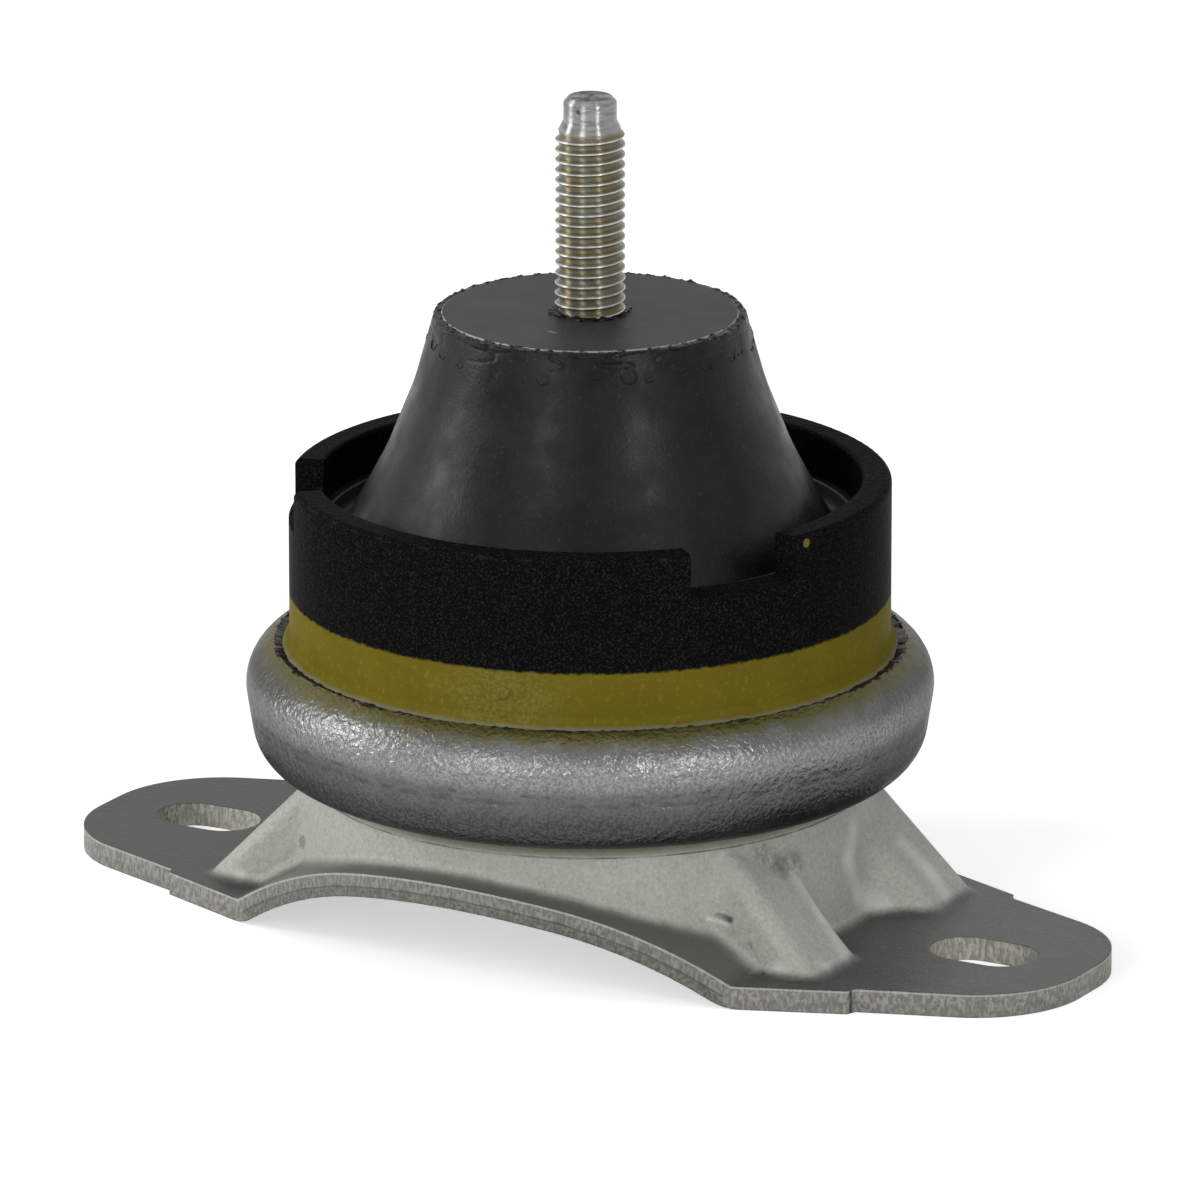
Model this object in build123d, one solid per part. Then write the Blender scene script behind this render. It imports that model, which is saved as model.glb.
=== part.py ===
from build123d import *
import os
from math import acos, atan2, cos, degrees, hypot, radians, sin, tan

os.makedirs("parts", exist_ok=True)

# Frame: origin on the ground under the stud's axis, +X towards one ear, +Z up the stud, millimetres.

# How far two places may lie apart and still count as one when an edge or face is looked up
NEAR = 0.01

# Bracket, pressed from one sheet
SHEET = 3.4
SEAT_Z = 22.25
DOME_HEIGHT = 6.5
SADDLE_R = 72.0
SADDLE_BEND_R = 4.0
WAIST_R = 44.0
EDGE_STRIP = 2.0
DOME_DRAFT = 7.0
DOME_TOP_R = 3.0
CREASE_R = 3.5
FOOT_R = 2.0
UNDER_TOP_R = 1.0
UNDER_EDGE_R = 2.0
UNDER_CREASE_R = 4.0
UNDER_FOOT_R = 3.0
SEAT_HOLE_CLEARANCE = 0.5
RAMP_HALF_WIDTH = 24.5
RAMP_SLOPE = 46.0
RAMP_DRAFT = 8.0
RAMP_EDGE_R = 2.6
RAMP_TOP_DROP = 1.25
RAMP_CORNER_DROP = 2.09
SLOT_CLEARANCE = 13.7
SLOT_LENGTH = 16.0
SLOT_WIDTH = 10.5
RECESS_SETBACK = 11.5
RECESS_R = 11.5
RECESS_DRAFT = 25.0
SHOULDER_RUN = 5.2
SHOULDER_MARGIN = 0.7
TRIM_STEP = 1.5
TRIM_RUN = 0.6
EAR_REACH = 16.7
EAR_END_HALF = 14.8
EAR_CORNER_R = 17.0

# Cup, deep drawn and rolled over the flange at its mouth
CUP_WALL = 2.2
CUP_BEND_R = 6.7
LIP_WRAP_ANGLE = 67.4
LIP_TOP_GAP = 1.35
LIP_SIDE_GAP = 0.82
LIP_HUG = 3.0
SIDE_INSET = 0.81
POT_R = 28.5
POT_DEPTH = 13.75
POT_CORNER_R = 5.0
POT_SHOULDER_R = 2.5
VENT_R = 2.5

# Stack clamped in the cup, from its floor up
STACK_SIDE_GAP = 1.0
RIM_RING_THICKNESS = 3.0
RIM_RING_BORE_R = 33.5
RIM_RING_BEVEL = 2.0
RIM_RING_BREAK_R = 0.5
DIAPHRAGM_WALL = 1.5
BELLOWS_POT_GAP = 0.95
BELLOWS_DEPTH = 13.0
BELLOWS_CENTRE_R = 14.0
BELLOWS_CENTRE_DROP = 7.0
BELLOWS_BEND_R = 2.4
CASTING_RIM = 2.5
CASTING_HEIGHT = 8.05
CASTING_BREAK_R = 0.5
DISH_MARGIN = 1.4
DISH_DEPTH = 1.6
COVER_SHEET = 1.6
COVER_SIDE_GAP = 0.2
COVER_LINER_GAP = 0.4
COVER_BEND_R = 0.3
COVER_FOOT_R = 0.8
DECOUPLER_R = 21.0
DECOUPLER_THICKNESS = 2.4
DECOUPLER_PLAY = 0.4
DECOUPLER_SIDE_GAP = 0.5
PORT_R = 3.6
PORT_RING_R = 13.0
PORT_COUNT = 6
CHANNEL_WALL = 3.1
CHANNEL_WIDTH = 6.0
CHANNEL_DEPTH = 5.0
CHANNEL_SWEEP = 320.0
CHANNEL_PORT_ANGLE = 8.0
CHANNEL_PORT_R = 2.4

# Sleeve with its notches and flange
SEAL_THICKNESS = 1.25
RING_R = 43.0
RING_WALL = 4.2
RING_HEIGHT = 30.35
RING_RIM_R = 0.9
FLANGE_WIDTH = 3.2
FLANGE_THICKNESS = 3.0
FLANGE_BREAK_R = 0.4
COLLAR_WIDTH = 1.0
COLLAR_HEIGHT = 2.8
COLLAR_EDGE_R = 0.3
COLLAR_BLEND_R = 1.2
NOTCH_COUNT = 3
NOTCH_FIRST_ANGLE = 90.0
NOTCH_ANGLE = 23.0
NOTCH_DEPTH = 6.2

# Core
CORE_RISE = 24.1
CORE_R = 21.2
CORE_RIM_HEIGHT = 4.0
CORE_FOOT_R = 10.5
CORE_HEIGHT = 27.0
CORE_FOOT_FILLET = 3.0
CORE_SHOULDER_R = 2.0
CORE_TOP_CHAMFER = 0.3

# Stud
THREAD_R = 5.0
THREAD_LENGTH = 25.8
SHANK_OVERSIZE = 0.5
SHANK_DEPTH = 20.0
SHANK_LEAD = 0.8
DOG_R = 3.8
DOG_CONE = 2.3
DOG_LENGTH = 3.4
DOG_CHAMFER = 0.7

# Rubber, moulded between the core and the sleeve
RUBBER_RIM = 1.0
RUBBER_RIM_DROP = 0.2
RUBBER_EDGE_R = 0.4
CONE_WAIST_OUT = 2.8
CONE_FLARE_OUT = 6.8
CONE_BEND_R = 30.0
SKIRT_GAP = 3.2
TROUGH_GAP = 1.3
TROUGH_DEPTH = 3.95
TROUGH_BEND_R = 1.2
LINER = 1.2
LINER_TOP_GAP = 0.15
ROOF_THICKNESS = 3.2
ROOF_R = 9.0
ROOF_BEND_R = 6.0
CHAMBER_FOOT_RISE = 6.2
CHAMBER_FOOT_BEND_R = 3.0
BEAD_WIDTH = 0.6
BEAD_HEIGHT = 3.0
BEAD_SLOPE = 0.4

# Places on the bracket that follow from its sizes
SADDLE_CROWN = SEAT_Z - DOME_HEIGHT
DOME_FOOT_R = WAIST_R - EDGE_STRIP
RAMP_RUN = (SEAT_Z - RAMP_CORNER_DROP - SHEET) / tan(radians(RAMP_SLOPE))
RAMP_TOE_X = (DOME_FOOT_R**2 - RAMP_HALF_WIDTH**2)**0.5 + RAMP_RUN
SHOULDER_X = RAMP_TOE_X + SHOULDER_RUN
SHOULDER_Y = RAMP_HALF_WIDTH + SHOULDER_MARGIN
SLOT_X = RAMP_TOE_X + SLOT_CLEARANCE
RECESS_X = SLOT_X - RECESS_SETBACK
EAR_END_X = SLOT_X + EAR_REACH

# Heights that follow, from the cup's floor up to the stud
CUP_FLOOR_Z = SEAT_Z + CUP_WALL
RIM_RING_TOP_Z = CUP_FLOOR_Z + RIM_RING_THICKNESS
DIAPHRAGM_TOP_Z = RIM_RING_TOP_Z + DIAPHRAGM_WALL
CASTING_RIM_TOP_Z = DIAPHRAGM_TOP_Z + CASTING_RIM
CASTING_TOP_Z = DIAPHRAGM_TOP_Z + CASTING_HEIGHT
COVER_RIM_TOP_Z = CASTING_RIM_TOP_Z + COVER_SHEET
FLANGE_BASE_Z = COVER_RIM_TOP_Z + SEAL_THICKNESS
FLANGE_TOP_Z = FLANGE_BASE_Z + FLANGE_THICKNESS
RING_TOP_Z = FLANGE_BASE_Z + RING_HEIGHT
NOTCH_FLOOR_Z = RING_TOP_Z - NOTCH_DEPTH
LINER_TOP_Z = NOTCH_FLOOR_Z - LINER_TOP_GAP
CORE_TOP_Z = RING_TOP_Z + CORE_RISE
CORE_FOOT_Z = CORE_TOP_Z - CORE_HEIGHT
RUBBER_TOP_Z = CORE_TOP_Z - RUBBER_RIM_DROP

# Radii that follow, from the sleeve out to the cup and in to the plates
RING_BORE_R = RING_R - RING_WALL
LINER_R = RING_BORE_R - LINER
FLANGE_R = RING_R + FLANGE_WIDTH
INNER_BEND_R = CUP_BEND_R - CUP_WALL
FLANGE_EDGE_R = INNER_BEND_R - LIP_HUG
COLLAR_R = RING_R + COLLAR_WIDTH
FLANGE_FILLET_R = 0.97 * (FLANGE_R - COLLAR_R - FLANGE_EDGE_R)
LIP_CENTRE_R = FLANGE_R + LIP_SIDE_GAP - INNER_BEND_R
LIP_CENTRE_Z = FLANGE_TOP_Z + LIP_TOP_GAP - INNER_BEND_R
FOOT_CENTRE_R = LIP_CENTRE_R - SIDE_INSET
FOOT_CENTRE_Z = SEAT_Z + CUP_BEND_R
STACK_R = FOOT_CENTRE_R + INNER_BEND_R - STACK_SIDE_GAP
CASTING_BODY_R = LINER_R - COVER_LINER_GAP - COVER_SHEET - COVER_SIDE_GAP
CHANNEL_R = CASTING_BODY_R - CHANNEL_WALL - CHANNEL_WIDTH / 2
BELLOWS_R = POT_R - CUP_WALL - BELLOWS_POT_GAP - DIAPHRAGM_WALL / 2
SHANK_R = THREAD_R + SHANK_OVERSIZE


def turned(outline):
    """Solid of revolution about Z from a closed outline of (radius, height)."""
    return revolve(make_face(Plane.XZ * outline), Axis.Z)


def rounded(*corners):
    """Closed outline from (radius, height, corner rounding) triples."""
    points = [(r, z) for r, z, rounding in corners]
    return FilletPolyline(*points, radius=[rounding for r, z, rounding in corners], close=True)


def slope_cut(toe_x, level, angle):
    """Everything above a plane that falls towards +X and meets the level at the toe."""
    rise = tan(radians(angle))
    side = Polyline((toe_x + SLOT_X, level - SLOT_X * rise), (toe_x + SLOT_X, level + SLOT_X * rise),
                    (toe_x - SLOT_X, level + SLOT_X * rise), close=True)
    return extrude(make_face(Plane.XZ * side), amount=2 * WAIST_R, both=True)


def bracket_plan():
    """The bracket seen from above: round waist, straight shoulders and two trimmed ears."""
    reach = hypot(SHOULDER_X, SHOULDER_Y)
    touch = atan2(SHOULDER_Y, SHOULDER_X) + acos(WAIST_R / reach)
    quarter = [
        (WAIST_R * cos(touch), WAIST_R * sin(touch)),
        (SHOULDER_X, SHOULDER_Y),
        (SHOULDER_X + TRIM_RUN, SHOULDER_Y - TRIM_STEP),
        (EAR_END_X, EAR_END_HALF),
    ]
    right = quarter + [(x, -y) for x, y in reversed(quarter)]
    left = [(-x, -y) for x, y in right]
    plan = make_face(Polyline(*right, *left, close=True)) + Circle(WAIST_R)
    corners = [v for v in plan.vertices() if abs(v.X) > EAR_END_X - NEAR]
    return fillet(corners, EAR_CORNER_R)


def under_saddle(level, bend):
    """All below one face of the arched sheet: flat at a level, an arc raised over the middle."""
    centre_z = SADDLE_CROWN - SADDLE_R
    radius = SADDLE_R - SHEET + level
    flat = Pos(0, level) * Rectangle(4 * EAR_END_X, SEAT_Z, align=(Align.CENTER, Align.MAX))
    band = Pos(0, level - SEAT_Z / 2) * Rectangle(4 * EAR_END_X, 2 * SEAT_Z, align=(Align.CENTER, Align.MIN))
    region = flat + (band & (Pos(0, centre_z) * Circle(radius)))
    corners = [v for v in region.vertices() if abs(v.Y - level) < NEAR and abs(v.X) < EAR_END_X]
    return extrude(Plane.XZ * fillet(corners, bend), amount=2 * WAIST_R, both=True)


def dome(inset, rounding):
    """Round drafted seat of the bracket, or the same form inset for its underside."""
    lean = tan(radians(DOME_DRAFT))
    height = 2 * SEAT_Z - inset
    foot_r = DOME_FOOT_R - inset + (SHEET + SEAT_Z) * lean
    cone = Cone(foot_r, foot_r - height * lean, height, align=(Align.CENTER, Align.CENTER, Align.MIN))
    body = Pos(0, 0, -SEAT_Z) * cone
    return fillet(body.edges().group_by(Axis.Z)[-1], rounding) if rounding else body


def ramp(inset, rounding):
    """Pair of buttresses towards +X: a sloped block with a round recess for the bolt head."""
    top_z = SEAT_Z - RAMP_TOP_DROP - inset
    splay = tan(radians(RAMP_DRAFT))
    foot_half = RAMP_HALF_WIDTH - inset + (SHEET + SEAT_Z) * splay
    top_half = RAMP_HALF_WIDTH - inset + (SHEET - top_z) * splay
    inner_x = DOME_FOOT_R / 2
    corners = ((-foot_half, -SEAT_Z), (foot_half, -SEAT_Z), (top_half, top_z), (-top_half, top_z))
    section = Polyline(*corners, close=True)
    block = extrude(Plane.YZ.offset(inner_x) * make_face(section), amount=SLOT_X - inner_x)
    toe_x = RAMP_TOE_X - inset / sin(radians(RAMP_SLOPE))
    block -= slope_cut(toe_x, SHEET, RAMP_SLOPE)
    widen = tan(radians(RECESS_DRAFT))
    rim_r = RECESS_R + inset / cos(radians(RECESS_DRAFT))
    recess = Cone(rim_r - (SHEET + SEAT_Z / 4) * widen, rim_r + (SEAT_Z - SHEET) * widen, 1.25 * SEAT_Z,
                  align=(Align.CENTER, Align.CENTER, Align.MIN))
    block -= Pos(RECESS_X, 0, -SEAT_Z / 4) * recess
    if rounding:
        sloped = [f for f in block.faces() if abs(f.normal_at().Z - cos(radians(RAMP_SLOPE))) < NEAR]
        edges = [e for f in sloped for e in f.edges()]
        edges = [e for e in edges if e.center().X < SLOT_X - NEAR and e.center().Z < top_z - NEAR]
        block = fillet(edges, rounding)
    return block


def crease_edges(body):
    """Upright edges where the buttresses grow out of the dome."""
    cones = [f for f in body.faces() if f.geom_type == GeomType.CONE]
    walls = [f for f in cones if abs(f.axis_of_rotation.position.X) < NEAR]
    edges = [e for f in walls for e in f.edges() if e.geom_type != GeomType.LINE]
    return [e for e in edges if e.bounding_box().size.Z > 1 and abs(e.center().X) > DOME_FOOT_R / 2]


def foot_edges(body, level):
    """Edges where the raised forms leave the flat ears and the arched saddle."""
    def on_sheet(face):
        box = face.bounding_box()
        flat = face.geom_type == GeomType.PLANE and abs(box.min.Z - level) + abs(box.max.Z - level) < NEAR
        arched = face.geom_type == GeomType.CYLINDER and abs(face.axis_of_rotation.direction.Y) > 0.99
        return flat or (arched and box.size.Y > 2 * RAMP_HALF_WIDTH)

    found = {}
    for face in filter(on_sheet, body.faces()):
        for edge in face.edges():
            key = tuple(round(v, 3) for v in (*edge.center(), edge.length))
            found.setdefault(key, []).append(edge)
    single = [edges[0] for edges in found.values() if len(edges) == 1]
    inside = [e for e in single if abs(e.center().X) < SHOULDER_X]
    return [e for e in inside if max(abs(v.Y) for v in e.vertices()) < WAIST_R]


def pressed_form(inset, level, bend, top_rounding, edge_rounding, crease, foot):
    """One face of the pressing as a solid: saddle, dome and buttresses with their blends."""
    horns = ramp(inset, edge_rounding)
    form = dome(inset, top_rounding) + horns
    form += mirror(horns, Plane.YZ)
    form = fillet(crease_edges(form), crease)
    form += under_saddle(level, bend)
    return fillet(foot_edges(form, level), foot)


def base_bracket():
    """Pressed bracket: the outside form less the form of its underside, then trimmed and pierced."""
    outside = pressed_form(0, SHEET, SADDLE_BEND_R, DOME_TOP_R, RAMP_EDGE_R, CREASE_R, FOOT_R)
    underside = pressed_form(
        SHEET, 0, SADDLE_BEND_R + SHEET, UNDER_TOP_R, UNDER_EDGE_R, UNDER_CREASE_R, UNDER_FOOT_R)
    trim = extrude(bracket_plan(), amount=2 * SEAT_Z)
    bracket = (outside - underside) & trim
    slot = SlotOverall(SLOT_LENGTH, SLOT_WIDTH)
    slots = Sketch() + [Pos(x, 0) * slot for x in (-SLOT_X, SLOT_X)]
    bracket -= extrude(slots, amount=2 * SHEET)
    seat_hole_r = POT_R + POT_SHOULDER_R + SEAT_HOLE_CLEARANCE
    return bracket - Cylinder(seat_hole_r, 4 * SEAT_Z)


def crimp_cup():
    """Drawn cup: rolled lip, leaning side, seat floor and the pot that hangs through the bracket."""
    lean = degrees(atan2(LIP_CENTRE_R - FOOT_CENTRE_R, LIP_CENTRE_Z - FOOT_CENTRE_Z))
    shoulder_r = POT_R + POT_SHOULDER_R
    shoulder_z = SEAT_Z - POT_SHOULDER_R
    corner_r = POT_R - POT_CORNER_R
    base_z = SEAT_Z - POT_DEPTH

    def skin(depth):
        lip_centre = (LIP_CENTRE_R, LIP_CENTRE_Z)
        lip = CenterArc(lip_centre, CUP_BEND_R - depth, LIP_WRAP_ANGLE, -LIP_WRAP_ANGLE - lean)
        foot = CenterArc((FOOT_CENTRE_R, FOOT_CENTRE_Z), CUP_BEND_R - depth, -lean, lean - 90)
        shoulder = CenterArc((shoulder_r, shoulder_z), POT_SHOULDER_R + depth, 90, 90)
        corner = CenterArc((corner_r, base_z + POT_CORNER_R), POT_CORNER_R - depth, 0, -90)
        side = Line(lip @ 1, foot @ 0)
        seat = Line(foot @ 1, shoulder @ 0)
        pot = Line(shoulder @ 1, corner @ 0)
        base = Line(corner @ 1, (VENT_R, base_z + depth))
        return [lip, side, foot, seat, shoulder, pot, corner, base]

    outer = skin(0)
    inner = skin(CUP_WALL)
    ends = [Line(outer[0] @ 0, inner[0] @ 0), Line(outer[-1] @ 1, inner[-1] @ 1)]
    return turned(Curve() + outer + inner + ends)


def outer_ring():
    """Sleeve with a flange and a flared collar at its foot and three notches in its rim."""
    collar_top_z = FLANGE_TOP_Z + COLLAR_HEIGHT
    body = turned(rounded(
        (RING_BORE_R, FLANGE_BASE_Z, FLANGE_BREAK_R),
        (FLANGE_R, FLANGE_BASE_Z, FLANGE_BREAK_R),
        (FLANGE_R, FLANGE_TOP_Z, FLANGE_EDGE_R),
        (COLLAR_R, FLANGE_TOP_Z, FLANGE_FILLET_R),
        (COLLAR_R, collar_top_z, COLLAR_EDGE_R),
        (RING_R, collar_top_z + COLLAR_WIDTH, COLLAR_BLEND_R),
        (RING_R, RING_TOP_Z, RING_RIM_R),
        (RING_BORE_R, RING_TOP_Z, RING_RIM_R / 2),
    ))
    half = radians(NOTCH_ANGLE / 2)
    reach = 2 * RING_R
    wedge = make_face(Polyline((0, 0), (reach, -reach * tan(half)), (reach, reach * tan(half)), close=True))
    notch = Pos(0, 0, NOTCH_FLOOR_Z) * extrude(wedge, amount=2 * NOTCH_DEPTH)
    for i in range(NOTCH_COUNT):
        body -= Rot(0, 0, NOTCH_FIRST_ANGLE + 360 * i / NOTCH_COUNT) * notch
    return body


def stud():
    """Pressed shank, thread at its full diameter, and a plain dog point."""
    foot_z = CORE_TOP_Z - SHANK_DEPTH
    thread_top_z = CORE_TOP_Z + THREAD_LENGTH
    dog_z = thread_top_z + DOG_CONE
    tip_z = dog_z + DOG_LENGTH
    return turned(Polyline(
        (0, foot_z),
        (SHANK_R - SHANK_LEAD, foot_z),
        (SHANK_R, foot_z + SHANK_LEAD),
        (SHANK_R, CORE_TOP_Z),
        (THREAD_R, CORE_TOP_Z),
        (THREAD_R, thread_top_z),
        (DOG_R, dog_z),
        (DOG_R, tip_z - DOG_CHAMFER),
        (DOG_R - DOG_CHAMFER, tip_z),
        (0, tip_z),
        close=True,
    ))


def core(stud_form):
    """Tapered metal insert round the stud; its top face stands clear of the rubber."""
    body = turned(rounded(
        (0, CORE_FOOT_Z, 0),
        (CORE_FOOT_R, CORE_FOOT_Z, CORE_FOOT_FILLET),
        (CORE_R, CORE_TOP_Z - CORE_RIM_HEIGHT, CORE_SHOULDER_R),
        (CORE_R, CORE_TOP_Z, CORE_TOP_CHAMFER),
        (0, CORE_TOP_Z, 0),
    ))
    return body - stud_form


def in_lip_wall(angle):
    """Point in the middle of the rolled lip's wall, where the rubber outline may end unseen."""
    middle_r = CUP_BEND_R - CUP_WALL / 2
    return (LIP_CENTRE_R + middle_r * cos(radians(angle)), LIP_CENTRE_Z + middle_r * sin(radians(angle)))


def rubber_spring(metal):
    """Moulded rubber: hollow cone, trough, liner in the sleeve, and the seal round the flange."""
    cone_height = RUBBER_TOP_Z - LINER_TOP_Z
    rim_r = CORE_R + RUBBER_RIM
    wall_r, wall_z = in_lip_wall(0)
    inside_ring_r = RING_R - RING_WALL / 2
    bead_top_z = FLANGE_TOP_Z + BEAD_HEIGHT
    outline = rounded(
        (0, CORE_FOOT_Z - ROOF_THICKNESS, 0),
        (ROOF_R, CORE_FOOT_Z - ROOF_THICKNESS, ROOF_BEND_R),
        (LINER_R, FLANGE_TOP_Z + CHAMBER_FOOT_RISE, CHAMBER_FOOT_BEND_R),
        (LINER_R, COVER_RIM_TOP_Z, 0),
        (wall_r, COVER_RIM_TOP_Z, 0),
        (wall_r, wall_z, 0),
        (*in_lip_wall(LIP_WRAP_ANGLE / 2), 0),
        (*in_lip_wall(LIP_WRAP_ANGLE), 0),
        (COLLAR_R + BEAD_WIDTH, bead_top_z, RUBBER_EDGE_R / 2),
        (COLLAR_R, bead_top_z - BEAD_SLOPE, 0),
        (inside_ring_r, bead_top_z - BEAD_SLOPE, 0),
        (inside_ring_r, LINER_TOP_Z, 0),
        (LINER_R, LINER_TOP_Z, RUBBER_EDGE_R),
        (LINER_R - TROUGH_GAP, LINER_TOP_Z - TROUGH_DEPTH, TROUGH_BEND_R),
        (LINER_R - SKIRT_GAP, LINER_TOP_Z, CONE_BEND_R / 2),
        (rim_r + CONE_FLARE_OUT, RUBBER_TOP_Z - cone_height * 2 / 3, CONE_BEND_R),
        (rim_r + CONE_WAIST_OUT, RUBBER_TOP_Z - cone_height / 3, CONE_BEND_R),
        (rim_r, RUBBER_TOP_Z, RUBBER_EDGE_R),
        (0, RUBBER_TOP_Z, 0),
    )
    body = turned(outline)
    for neighbour in metal:
        body -= neighbour
    return body


def rim_ring():
    """Steel ring in the diaphragm's rim, bevelled to lie in the cup's bend."""
    return turned(rounded(
        (RIM_RING_BORE_R, CUP_FLOOR_Z, RIM_RING_BREAK_R),
        (STACK_R - 2 * RIM_RING_BEVEL, CUP_FLOOR_Z, 0),
        (STACK_R, CUP_FLOOR_Z + RIM_RING_BEVEL, 0),
        (STACK_R, RIM_RING_TOP_Z, 0),
        (RIM_RING_BORE_R, RIM_RING_TOP_Z, RIM_RING_BREAK_R),
    ))


def diaphragm():
    """Rubber bellows: rim on its ring, one deep fold into the pot, and a raised middle."""
    half = DIAPHRAGM_WALL / 2
    middle_z = RIM_RING_TOP_Z + half

    def skin(side):
        outside_r = BELLOWS_BEND_R + side
        inside_r = BELLOWS_BEND_R - side
        return [
            (STACK_R, middle_z + side, 0),
            (BELLOWS_R - side, middle_z + side, outside_r),
            (BELLOWS_R - side, middle_z - BELLOWS_DEPTH + side, inside_r),
            (BELLOWS_CENTRE_R + side, middle_z - BELLOWS_DEPTH + side, inside_r),
            (BELLOWS_CENTRE_R + side, middle_z - BELLOWS_CENTRE_DROP + side, outside_r),
            (0, middle_z - BELLOWS_CENTRE_DROP + side, 0),
        ]

    return turned(rounded(*skin(half), *reversed(skin(-half))))


def ports(radius, height):
    """Middle hole and ring of holes that let the fluid reach the decoupler."""
    holes = Sketch() + [loc * Circle(radius) for loc in PolarLocations(PORT_RING_R, PORT_COUNT)]
    return extrude(holes + Circle(radius), amount=height)


def lower_channel_plate():
    """Cast half of the plate pair: clamped rim, decoupler seat and open channel."""
    body = turned(rounded(
        (0, DIAPHRAGM_TOP_Z, 0),
        (STACK_R, DIAPHRAGM_TOP_Z, 0),
        (STACK_R, CASTING_RIM_TOP_Z, 0),
        (CASTING_BODY_R, CASTING_RIM_TOP_Z, CASTING_BREAK_R),
        (CASTING_BODY_R, CASTING_TOP_Z, CASTING_BREAK_R),
        (0, CASTING_TOP_Z, 0),
    ))
    seat_depth = DECOUPLER_THICKNESS + DECOUPLER_PLAY
    seat_r = DECOUPLER_R + DECOUPLER_SIDE_GAP
    seat = Cylinder(seat_r, seat_depth, align=(Align.CENTER, Align.CENTER, Align.MAX))
    body -= Pos(0, 0, CASTING_TOP_Z) * seat
    body -= Pos(0, 0, DIAPHRAGM_TOP_Z) * Cylinder(BELLOWS_R + DISH_MARGIN, 2 * DISH_DEPTH)
    body -= Pos(0, 0, DIAPHRAGM_TOP_Z) * ports(PORT_R, CASTING_HEIGHT)
    channel = Plane.XZ * Pos(CHANNEL_R, 0) * Rectangle(CHANNEL_WIDTH, 2 * CHANNEL_DEPTH)
    body -= Pos(0, 0, CASTING_TOP_Z) * revolve(channel, Axis.Z, revolution_arc=CHANNEL_SWEEP)
    outlet = Rot(0, 0, CHANNEL_SWEEP - CHANNEL_PORT_ANGLE) * Pos(CHANNEL_R, 0) * Circle(CHANNEL_PORT_R)
    return body - Pos(0, 0, DIAPHRAGM_TOP_Z) * extrude(outlet, amount=CASTING_HEIGHT)


def upper_channel_plate():
    """Pressed cover: clamped rim, and a raised top that closes the channel and traps the decoupler."""
    wall_r = CASTING_BODY_R + COVER_SIDE_GAP
    top_z = CASTING_TOP_Z + COVER_SHEET
    body = turned(rounded(
        (0, CASTING_TOP_Z, 0),
        (wall_r, CASTING_TOP_Z, COVER_BEND_R),
        (wall_r, CASTING_RIM_TOP_Z, COVER_FOOT_R),
        (STACK_R, CASTING_RIM_TOP_Z, 0),
        (STACK_R, COVER_RIM_TOP_Z, 0),
        (wall_r + COVER_SHEET, COVER_RIM_TOP_Z, COVER_BEND_R),
        (wall_r + COVER_SHEET, top_z, COVER_BEND_R + COVER_FOOT_R),
        (0, top_z, 0),
    ))
    body -= Pos(0, 0, CASTING_TOP_Z) * ports(PORT_R, COVER_SHEET)
    inlet = Rot(0, 0, CHANNEL_PORT_ANGLE) * Pos(CHANNEL_R, 0) * Circle(CHANNEL_PORT_R)
    return body - Pos(0, 0, CASTING_TOP_Z) * extrude(inlet, amount=COVER_SHEET)


def decoupler():
    """Loose rubber disc between the two plates."""
    seat_z = CASTING_TOP_Z - DECOUPLER_THICKNESS - DECOUPLER_PLAY
    disc = Cylinder(DECOUPLER_R, DECOUPLER_THICKNESS, align=(Align.CENTER, Align.CENTER, Align.MIN))
    return Pos(0, 0, seat_z) * fillet(disc.edges(), DECOUPLER_THICKNESS / 4)


stud_form = stud()
core_form = core(stud_form)
ring_form = outer_ring()
cup_form = crimp_cup()

PARTS = {
    "base_bracket": base_bracket(),
    "crimp_cup": cup_form,
    "diaphragm_ring": rim_ring(),
    "diaphragm": diaphragm(),
    "lower_channel_plate": lower_channel_plate(),
    "decoupler": decoupler(),
    "upper_channel_plate": upper_channel_plate(),
    "outer_ring": ring_form,
    "rubber_spring": rubber_spring([core_form, stud_form, ring_form, cup_form]),
    "core": core_form,
    "stud": stud_form,
}

for name, form in PARTS.items():
    export_step(form, f"parts/{name}.step")
    print(name, len(form.solids()), "solid", round(form.volume, 1), "mm3")
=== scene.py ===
"""Hydraulic engine mount: thread, flash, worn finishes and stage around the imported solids."""
import math
import random

import bmesh
import bpy
from mathutils import Matrix, Vector, noise


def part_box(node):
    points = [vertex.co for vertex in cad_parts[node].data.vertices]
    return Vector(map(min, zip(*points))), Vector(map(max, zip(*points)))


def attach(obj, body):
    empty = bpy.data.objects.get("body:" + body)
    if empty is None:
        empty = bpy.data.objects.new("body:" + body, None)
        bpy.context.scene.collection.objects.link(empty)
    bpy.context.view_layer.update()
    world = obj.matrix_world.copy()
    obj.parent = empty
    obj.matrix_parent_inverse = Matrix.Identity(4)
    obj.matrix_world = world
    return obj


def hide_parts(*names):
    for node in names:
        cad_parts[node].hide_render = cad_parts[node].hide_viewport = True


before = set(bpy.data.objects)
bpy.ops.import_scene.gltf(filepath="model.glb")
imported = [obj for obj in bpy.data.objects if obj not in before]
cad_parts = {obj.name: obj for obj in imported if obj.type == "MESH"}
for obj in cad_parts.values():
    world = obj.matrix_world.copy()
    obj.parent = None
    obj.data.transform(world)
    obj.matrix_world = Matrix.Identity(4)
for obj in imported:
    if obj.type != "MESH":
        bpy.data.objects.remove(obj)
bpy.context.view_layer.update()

bl_info = {
    "name": "Hydraulic engine mount",
    "version": (1, 0, 0),
    "blender": (4, 5, 0),
    "location": "3D View > Sidebar > Mount",
    "description": "Dresses the packed engine mount with its thread, flash, coatings and stage",
    "category": "Object",
}

MM = 0.001
QUARTER_TURN = 0.25
BODY = "root"


def mm(*values):
    """Millimetres as a vector in metres."""
    return Vector(values) * MM


def low(node):
    """Lowest height of a CAD node in millimetres."""
    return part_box(node)[0][2] / MM


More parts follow.
